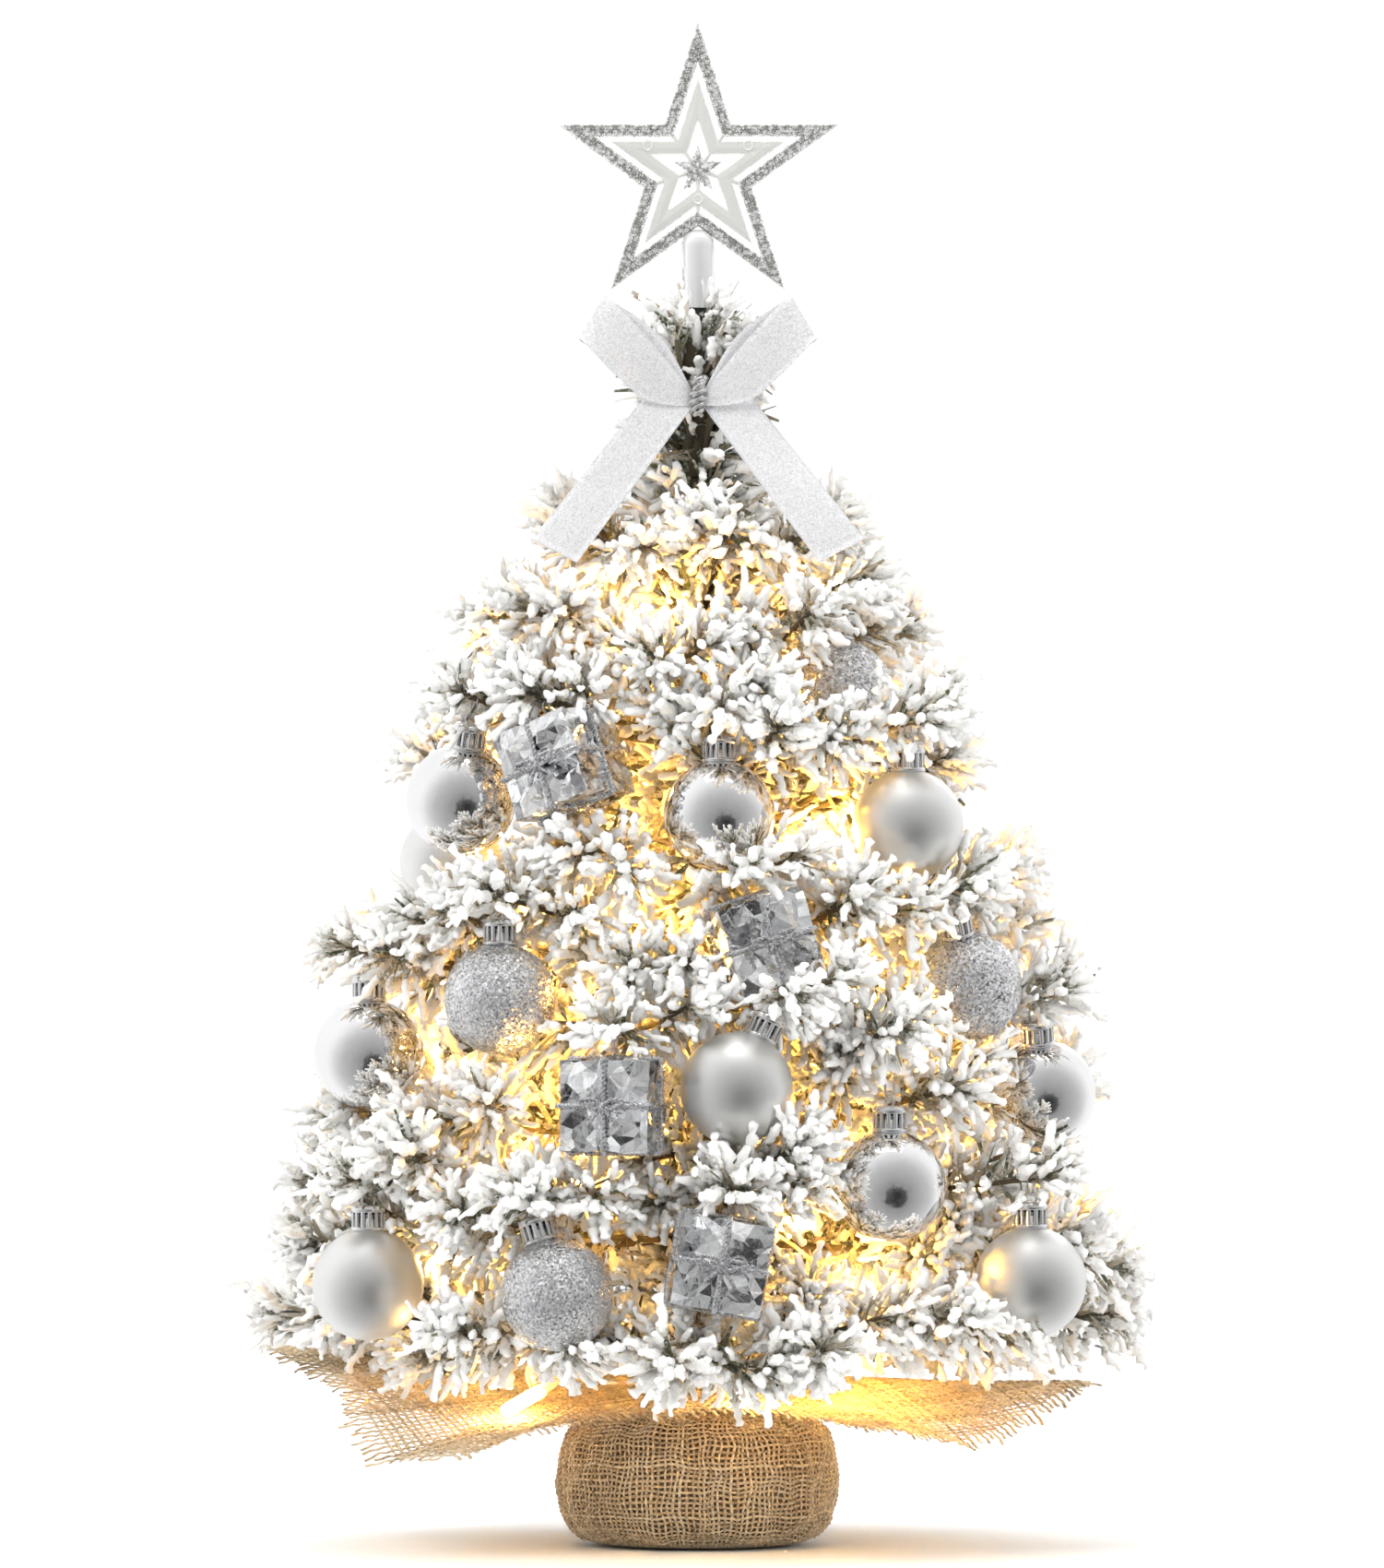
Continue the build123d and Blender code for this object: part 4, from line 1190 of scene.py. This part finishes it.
b = Builder()
loop_length = [ribbon(b, bow_loop(s)) for s in (-1, 1)]
loops = b.piece("ribbon_loops", [RIBBON])
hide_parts("bow_loops")
b = Builder()
tail_length = [ribbon(b, bow_tail(s)) for s in (-1, 1)]
tails = b.piece("ribbon_tails", [RIBBON])
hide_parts("bow_tails")
b = Builder()
for phase in (0, math.pi):
    t = np.linspace(-1, 1, 60)
    pts = np.stack([1.5 * np.cos(t * 9 + phase), BOW_Y - 4.5 + 1.3 * np.sin(t * 9 + phase),
                    BOW_Z - 1 + 7.0 * t], 1)
    b.add(*tube(pts, 0.75, 8), 0)
for z in (-2.2, 0.6):
    a = np.linspace(0, 2 * math.pi, 33)[:-1]
    pts = np.stack([3.4 * np.sin(a), BOW_Y - 1.0 + 4.4 * np.cos(a), BOW_Z + z + 0.8 * np.sin(a)], 1)
    b.add(*tube(pts, 0.7, 8, closed=True), 0)
b.add(*tube([(0, BOW_Y + 3, BOW_Z), (0.5, -18, BOW_Z + 0.6), (0, -7.2, BOW_Z)], 0.7, 8), 0)
a = np.linspace(0, 2 * math.pi, 33)[:-1]
pts = np.stack([7.5 * np.cos(a), 7.5 * np.sin(a), BOW_Z + 0.6 * np.sin(3 * a)], 1)
b.add(*tube(pts, 0.7, 8, closed=True), 0)
tie = b.piece("twisted_tie", [THREAD])
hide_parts("bow_tie_wire")
for o, s in ((loops, "glitter_ribbon"), (tails, "glitter_ribbon"), (tie, "silver_wire")):
    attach(o, "tree")


# ---------------------------------------------------------------- jute
def yarn(b, points, normals, over, width, tall, lift):
    """One flat yarn that goes over and under: a four-sided strip through crossing points."""
    p = points + normals * (over * lift)[:, None]
    if len(p) < 2:
        return
    t = rows_unit(np.gradient(p, axis=0))
    s = rows_unit(np.cross(t, normals))
    w = np.broadcast_to(np.asarray(width, float), (len(p),))[:, None]
    ring = np.stack([p + s * w / 2, p + normals * tall / 2, p - s * w / 2, p - normals * tall / 2], 1)
    faces = quads(len(p), 4)
    faces += [[0, 1, 2, 3], [len(p) * 4 - 1, len(p) * 4 - 2, len(p) * 4 - 3, len(p) * 4 - 4]]
    b.add(ring.reshape(-1, 3), faces, 0, tint=float(rng.random()))


BAG_PROFILE = np.array([(6, 0.7), (20, 0.7), (37, 0.9), (45.6, 4.2), (50.3, 11.3), (51.8, 22),
                        (50.9, 35.6), (45.6, 44.4), (38.0, 48.6), (29.0, 51.6), (18.2, 54.0),
                        (16.6, 57.5)])


def smooth_path(points, count):
    """Rounds a profile by cutting its corners twice, then spaces points evenly along it."""
    p = np.asarray(points, float)
    for _ in range(2):
        mid = [p[0]]
        for a, c in zip(p[:-1], p[1:]):
            mid += [a * 0.75 + c * 0.25, a * 0.25 + c * 0.75]
        p = np.array(mid + [p[-1]])
    seg = np.concatenate([[0], np.cumsum(np.linalg.norm(np.diff(p, axis=0), axis=1))])
    t = np.linspace(0, seg[-1], count)
    return np.stack([np.interp(t, seg, p[:, i]) for i in range(2)], 1), seg[-1]


def bag_at(azimuth, r, z):
    """The bag's surface: slightly uneven, with a soft fold on the left and pleats at the neck."""
    a = math.radians(azimuth)
    neck = np.clip((z - 40) / 14, 0, 1)
    foot = np.clip(z / 8, 0, 1)
    wob = noise.noise(Vector((math.sin(a) * 1.6, math.cos(a) * 1.6, z * 0.05))) * 0.5 * foot
    fold = -0.7 * math.exp(-((azimuth + 28 - 0.35 * (z - 22)) / 4.5) ** 2) * foot
    pleat = neck * 0.9 * math.sin(a * 13 + 1.3 * math.sin(3 * a))
    rr = r + wob + fold + pleat - 0.55
    return np.array([rr * math.sin(a), -rr * math.cos(a), max(z, 0.55)])


PITCH = 2.15
path, path_len = smooth_path(BAG_PROFILE, 62)
warps = int(2 * math.pi * 51.8 / PITCH)
warps += warps % 2
grid = np.array([[bag_at(360 * i / warps + 0.25 * math.sin(j * 0.35 + i * 0.1), r, z)
                  for j, (r, z) in enumerate(path)] for i in range(warps)])
for point in grid.reshape(-1, 3):
    if 3 < point[2] < 50:
        wander = noise.noise_vector(Vector(point) * 0.13) * 1.7
        point += np.array(wander) * (1, 1, 0.9)
du = np.roll(grid, -1, 0) - np.roll(grid, 1, 0)
dv = np.gradient(grid, axis=1)
nrm = rows_unit(np.cross(du.reshape(-1, 3), dv.reshape(-1, 3))).reshape(grid.shape)
if np.sum(nrm[0, 30] * (grid[0, 30] * (1, 1, 0))) < 0:
    nrm = -nrm
local = path[:, 0] / 51.8
b = Builder()
for i in range(warps):
    first = 16 if i % 2 else 0
    last = len(path) if i % 2 == 0 else len(path) - 6
    if i % 4 == 0:
        first = 0
    elif i % 2 == 0:
        first = 9
    j = np.arange(first, last)
    over = np.where((i + j) % 2 == 0, 1.0, -1.0)
    width = np.clip(PITCH * 0.47 * local[j], 0.55, 2.0) * rng.uniform(0.80, 1.15)
    yarn(b, grid[i, j], nrm[i, j], over, width, 0.85, 0.34)
for j in range(1, len(path)):
    step = 1 if path[j][0] > 30 else 2
    i = np.append(np.arange(0, warps, step), 0)
    over = np.where((i + j) % 2 == 0, -1.0, 1.0)
    over[-1] = over[0]
    yarn(b, grid[i, j], nrm[i, j], over, PITCH * 0.46 * rng.uniform(0.80, 1.15), 0.85, 0.38)
bag = b.piece("jute_bag", [JUTE])
# a dark backing skin, so that the weight doesn't show between the yarns; its low tint makes it painted
# shade in the gaps between them
b = Builder()
v = (grid[::4, ::3] - nrm[::4, ::3] * 0.85)
inner = (grid[::4, ::3] - nrm[::4, ::3] * 1.35)
rows_n, cols_n = v.shape[:2]
ply = rows_n * cols_n
faces = []
for i in range(rows_n):
    nxt = (i + 1) % rows_n
    for j in range(cols_n - 1):
        quad = [i * cols_n + j, nxt * cols_n + j, nxt * cols_n + j + 1, i * cols_n + j + 1]
        faces += [quad, [k + ply for k in quad[::-1]]]
    for j in (0, cols_n - 1):
        faces.append([i * cols_n + j, nxt * cols_n + j, nxt * cols_n + j + ply, i * cols_n + j + ply])
both = np.maximum(np.concatenate([v.reshape(-1, 3), inner.reshape(-1, 3)]), (-999, -999, 0.5))
# tint -0.5 sends the jute ramp to its darkest browns: painted shade between the yarns
b.add(both, faces, 0, tint=-0.5)
bag_gap_shade = b.piece("jute_bag_gap_shade", [JUTE])

OUTLINE = np.array([(-158, 32, 72), (-146, 0, 66), (-126, -36, 58), (-124, -62, 50), (-112, -88, 34),
                    (-86, -102, 36), (-64, -96, 45), (-34, -80, 50), (0, -78, 51), (40, -84, 51),
                    (74, -84, 45), (99, -72, 39), (120, -48, 47), (143, -14, 61), (132, 30, 56),
                    (112, 74, 48), (92, 112, 40), (46, 108, 46), (0, 102, 47), (-46, 112, 45),
                    (-96, 118, 42), (-124, 80, 56)], float)
order = np.argsort(np.degrees(np.arctan2(OUTLINE[:, 0], -OUTLINE[:, 1])))
RIM = OUTLINE[order]
rim_az = np.degrees(np.arctan2(RIM[:, 0], -RIM[:, 1]))
rim_r = np.hypot(RIM[:, 0], RIM[:, 1])
rim_z = RIM[:, 2]


def rim(azimuth):
    """The collar edge's reach and height at an azimuth."""
    return (np.interp(azimuth, rim_az, rim_r, period=360),
            np.interp(azimuth, rim_az, rim_z, period=360))


def collar_z(x, y):
    """The collar's height: down from the neck to its edge, with soft ruffles."""
    az = np.degrees(np.arctan2(x, -y))
    rho = np.hypot(x, y)
    edge_r, edge_z = rim(az)
    t = np.clip((rho - 17) / np.maximum(edge_r - 17, 1), 0, 1.25)
    z = 61 + (edge_z - 61) * t ** 1.25
    a = np.radians(az)
    ruffle = (3.6 * np.sin(a * 7 + 0.7) + 2.0 * np.sin(a * 11 - 1.1)) * t * (1.15 - t)
    return z + ruffle * np.clip(rho / 60, 0, 1)


def collar_points(x, y):
    z = collar_z(x, y)
    e = 0.5
    gx = (collar_z(x + e, y) - collar_z(x - e, y)) / (2 * e)
    gy = (collar_z(x, y + e) - collar_z(x, y - e)) / (2 * e)
    n = rows_unit(np.stack([-gx, -gy, np.ones_like(gx)], 1))
    return np.stack([x, y, z], 1), n


WEAVE = 2.7
TURN = math.radians(24)
ca, sa = math.cos(TURN), math.sin(TURN)
edge_a = RIM[:, :2]
edge_b = np.roll(RIM[:, :2], -1, 0)
edge_t = rows_unit(edge_b - edge_a)
edge_az = np.degrees(np.arctan2((edge_a + edge_b)[:, 0], -(edge_a + edge_b)[:, 1]))
b = Builder()
for family in (0, 1):
    count = int(190 / WEAVE)
    for i in range(-count, count + 1):
        fray = rng.uniform(2.0, 8.5, 2)
        s = np.arange(-count, count + 1) * WEAVE
        fixed = np.full_like(s, i * WEAVE)
        u, w = (s, fixed) if family == 0 else (fixed, s)
        wander = 0.35 * np.sin(s * 0.11 + i)
        x = u * ca - w * sa + wander
        y = u * sa + w * ca + wander
        rho = np.hypot(x, y)
        az = np.degrees(np.arctan2(x, -y))
        edge_r, _ = rim(az)
        # how far the yarn may pass the edge depends on how squarely it meets it
        near = np.argmin(np.abs((edge_az[None] - az[:, None] + 180) % 360 - 180), axis=1)
        d = np.array([ca, sa]) if family == 0 else np.array([-sa, ca])
        square = 1 - np.abs(edge_t[near] @ d)
        allow = np.where(square > 0.35, np.where(s > 0, fray[0], fray[1]) * square, -5.0)
        inside = (rho < edge_r + allow) & (rho > 15.5)
        j = np.arange(-count, count + 1)
        over = np.where((i + j) % 2 == 0, 1.0, -1.0) * (1 if family == 0 else -1)
        runs = np.split(np.where(inside)[0], np.where(np.diff(np.where(inside)[0]) > 1)[0] + 1)
        for run in runs:
            if len(run) < 3:
                continue
            p, n = collar_points(x[run], y[run])
            beyond = np.clip((rho[run] - edge_r[run]) / 8, 0, 1)
            p[:, 2] -= beyond * rng.uniform(0, 3.0)
            yarn(b, p, n, over[run] * (1 - beyond), WEAVE * 0.50 * rng.uniform(0.8, 1.2), 0.8, 0.3)
collar = b.piece("jute_collar", [JUTE])
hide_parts("burlap_bag")
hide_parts("burlap_collar")
b = Builder()
for ring, (r, z, rad) in enumerate(((18.6, 56.8, 1.2), (19.4, 54.8, 1.1), (18.9, 58.6, 1.0))):
    a = np.linspace(0, 2 * math.pi, 181)[:-1]
    for phase in (0, 2 * math.pi / 3, 4 * math.pi / 3):
        tw = a * 22 + phase
        pts = np.stack([(r + 0.5 * np.cos(tw)) * np.cos(a), (r + 0.5 * np.cos(tw)) * np.sin(a),
                        z + 0.5 * np.sin(tw) + 0.6 * np.sin(a * 2 + ring)], 1)
        b.add(*tube(pts, rad * 0.52, 6, closed=True), 0, tint=0.35)
twine = b.piece("twisted_twine", [JUTE])
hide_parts("neck_twine")
for o, s in ((bag, "jute_cloth"), (bag_gap_shade, "jute_cloth"), (collar, "jute_cloth"), (twine, "jute_twine")):
    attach(o, "tree")

# ---------------------------------------------------------------- light string
curve = bpy.data.curves.new("light_cord", "CURVE")
curve.dimensions = "3D"
spline = curve.splines.new("NURBS")
spline.points.add(len(LIGHT_ROUTE) - 1)
for point, (azimuth, radius, height, aim) in zip(spline.points, LIGHT_ROUTE):
    point.co = (*(polar(azimuth, radius, height) * MM), 1.0)
spline.order_u = 3
spline.use_endpoint_u = True
spline.resolution_u = 10
curve.bevel_depth = 0.75 * MM
curve.bevel_resolution = 3
curve.use_fill_caps = True
curve.materials.append(WIRE)
cord = bpy.data.objects.new("light_cord", curve)
bpy.context.scene.collection.objects.link(cord)
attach(cord, "tree")
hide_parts("light_wire")

b = Builder()
lamps = []
for azimuth, radius, height, aim in LIGHT_ROUTE:
    if aim is None:
        continue
    rise = math.radians(aim[1])
    heading = polar(aim[0], math.cos(rise), math.sin(rise))
    start = polar(azimuth, radius, height) + heading
    ts = np.array([0, 3, 7.4, 8.0, 9.0, 14.0, 22.0, 26.5, 28.6, 29.8, 30.0])
    rs = np.array([1.1, 1.5, 1.6, 2.3, 2.65, 2.6, 2.5, 2.45, 2.2, 1.2, 0.2])
    pts = start + heading * ts[:, None]
    v, f = tube(pts, rs, 14)
    along = np.repeat(np.clip((ts - 8) / 22, 0, 1), 14)
    glow = np.repeat(np.interp(ts, [0, 8, 16, 22, 27, 30], [0.02, 0.10, 0.45, 1.0, 0.9, 0.5]), 14)
    b.add(v, f, 0, along=along, glow=glow)
    lamps.append((start + heading * 26, aim))
bulbs = b.piece("warm_bulbs", [BULB])
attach(bulbs, "tree")
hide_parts("led_bulbs")

# ---------------------------------------------------------------- studio, lamps and camera
def area_light(name, at, target, size, energy, colour=(1, 1, 1)):
    data = bpy.data.lights.new(name, "AREA")
    data.shape = "RECTANGLE"
    data.size, data.size_y = size
    data.energy = energy
    data.color = colour
    o = bpy.data.objects.new(name, data)
    o.location = at
    o.rotation_euler = (Vector(target) - Vector(at)).to_track_quat("-Z", "Y").to_euler()
    bpy.context.scene.collection.objects.link(o)
    return o


# dimmer near the jute, where the photograph shows little glow: (height in mm, watts)
LAMP_WATTS = ((105, 0.95), (70, 0.40), (-1, 0.13))
WARM_WHITE = (1.0, 0.52, 0.08)
for number, (at, aim) in enumerate(lamps):
    data = bpy.data.lights.new(f"glow_{number}", "POINT")
    data.energy = next(watts for above, watts in LAMP_WATTS if at[2] > above)
    data.color = WARM_WHITE
    data.shadow_soft_size = 0.004
    o = bpy.data.objects.new(f"glow_{number}", data)
    o.location = Vector(at * MM)
    bpy.context.scene.collection.objects.link(o)

scene = bpy.context.scene
world = bpy.data.worlds.new("studio")
scene.world = world
world.use_nodes = True
sky = Graph(world.node_tree)
way = sky.node("ShaderNodeTexCoord").outputs["Generated"]
toward = sky.node("ShaderNodeVectorMath", operation="DOT_PRODUCT")
sky.set(toward.inputs[0], way)
toward.inputs[1].default_value = unit(np.array([0.22, -0.90, -0.38]))
patch = sky.node("ShaderNodeTexNoise", Scale=3.5, Vector=way)
UNEVEN = 0.14
uneven = sky.node("ShaderNodeMath", operation="MULTIPLY_ADD")
sky.set(uneven.inputs[0], patch.outputs["Fac"])
sky.set(uneven.inputs[1], UNEVEN)
sky.set(uneven.inputs[2], toward.outputs["Value"])
shift = sky.node("ShaderNodeMapRange", Value=uneven.outputs[0])
shift.inputs["From Min"].default_value = -1.0 + UNEVEN / 2
shift.inputs["From Max"].default_value = 1.0 + UNEVEN / 2
# white behind the tree, greyer towards the camera's side, with the dark camera in the middle
SKY_STOPS = ((0.32, 1.03), (0.44, 0.93), (0.54, 0.76), (0.68, 0.57), (0.82, 0.45), (0.90, 0.38),
             (0.952, 0.30), (0.972, 0.10), (1.0, 0.04))
shade = sky.ramp(shift.outputs["Result"], [(place, (level,) * 3) for place, level in SKY_STOPS])
backdrop = world.node_tree.nodes["Background"]
sky.set(backdrop.inputs["Color"], shade)
backdrop.inputs["Strength"].default_value = 1.0

floor_mat = Mat("studio_floor")
floor_mat.put(Base_Color=floor_mat.ramp(floor_mat.noise(3.0, 2), [(0, (0.96, 0.96, 0.96)),
                                                                  (1, (0.98, 0.98, 0.98))]))
floor_mat.put(Roughness=0.9)
FAR, NEAR, UNDER = 6000, 1900, -0.2
floor = mesh_piece("studio_floor", [(-NEAR, -FAR, UNDER), (FAR, -FAR, UNDER),
                                    (FAR, NEAR, UNDER), (-NEAR, NEAR, UNDER)],
                   [[0, 1, 2, 3]], [floor_mat.m], None, False)
floor.visible_glossy = False

area_light("key", (-1.2, -1.6, 1.7), (0, 0, 0.25), (1.2, 1.2), 33).visible_glossy = False
area_light("fill", (1.5, -1.3, 1.0), (0, 0, 0.25), (1.0, 1.4), 16).visible_glossy = False
area_light("top", (0, 0.2, 2.2), (0, 0, 0.3), (1.6, 1.6), 14)
area_light("back", (0.3, 1.8, 1.2), (0, 0, 0.3), (1.6, 1.0), 8)

camera_data = bpy.data.cameras.new("photo_camera")
camera_data.sensor_width = 36
camera_data.sensor_fit = "AUTO"
camera_data.lens = 187.0
camera = bpy.data.objects.new("photo_camera", camera_data)
camera.location = (-0.0022, -3.0, 0.18)
camera.rotation_euler = (math.radians(90 + 1.9), 0, 0)
scene.collection.objects.link(camera)
scene.camera = camera
scene.view_settings.view_transform = "Standard"
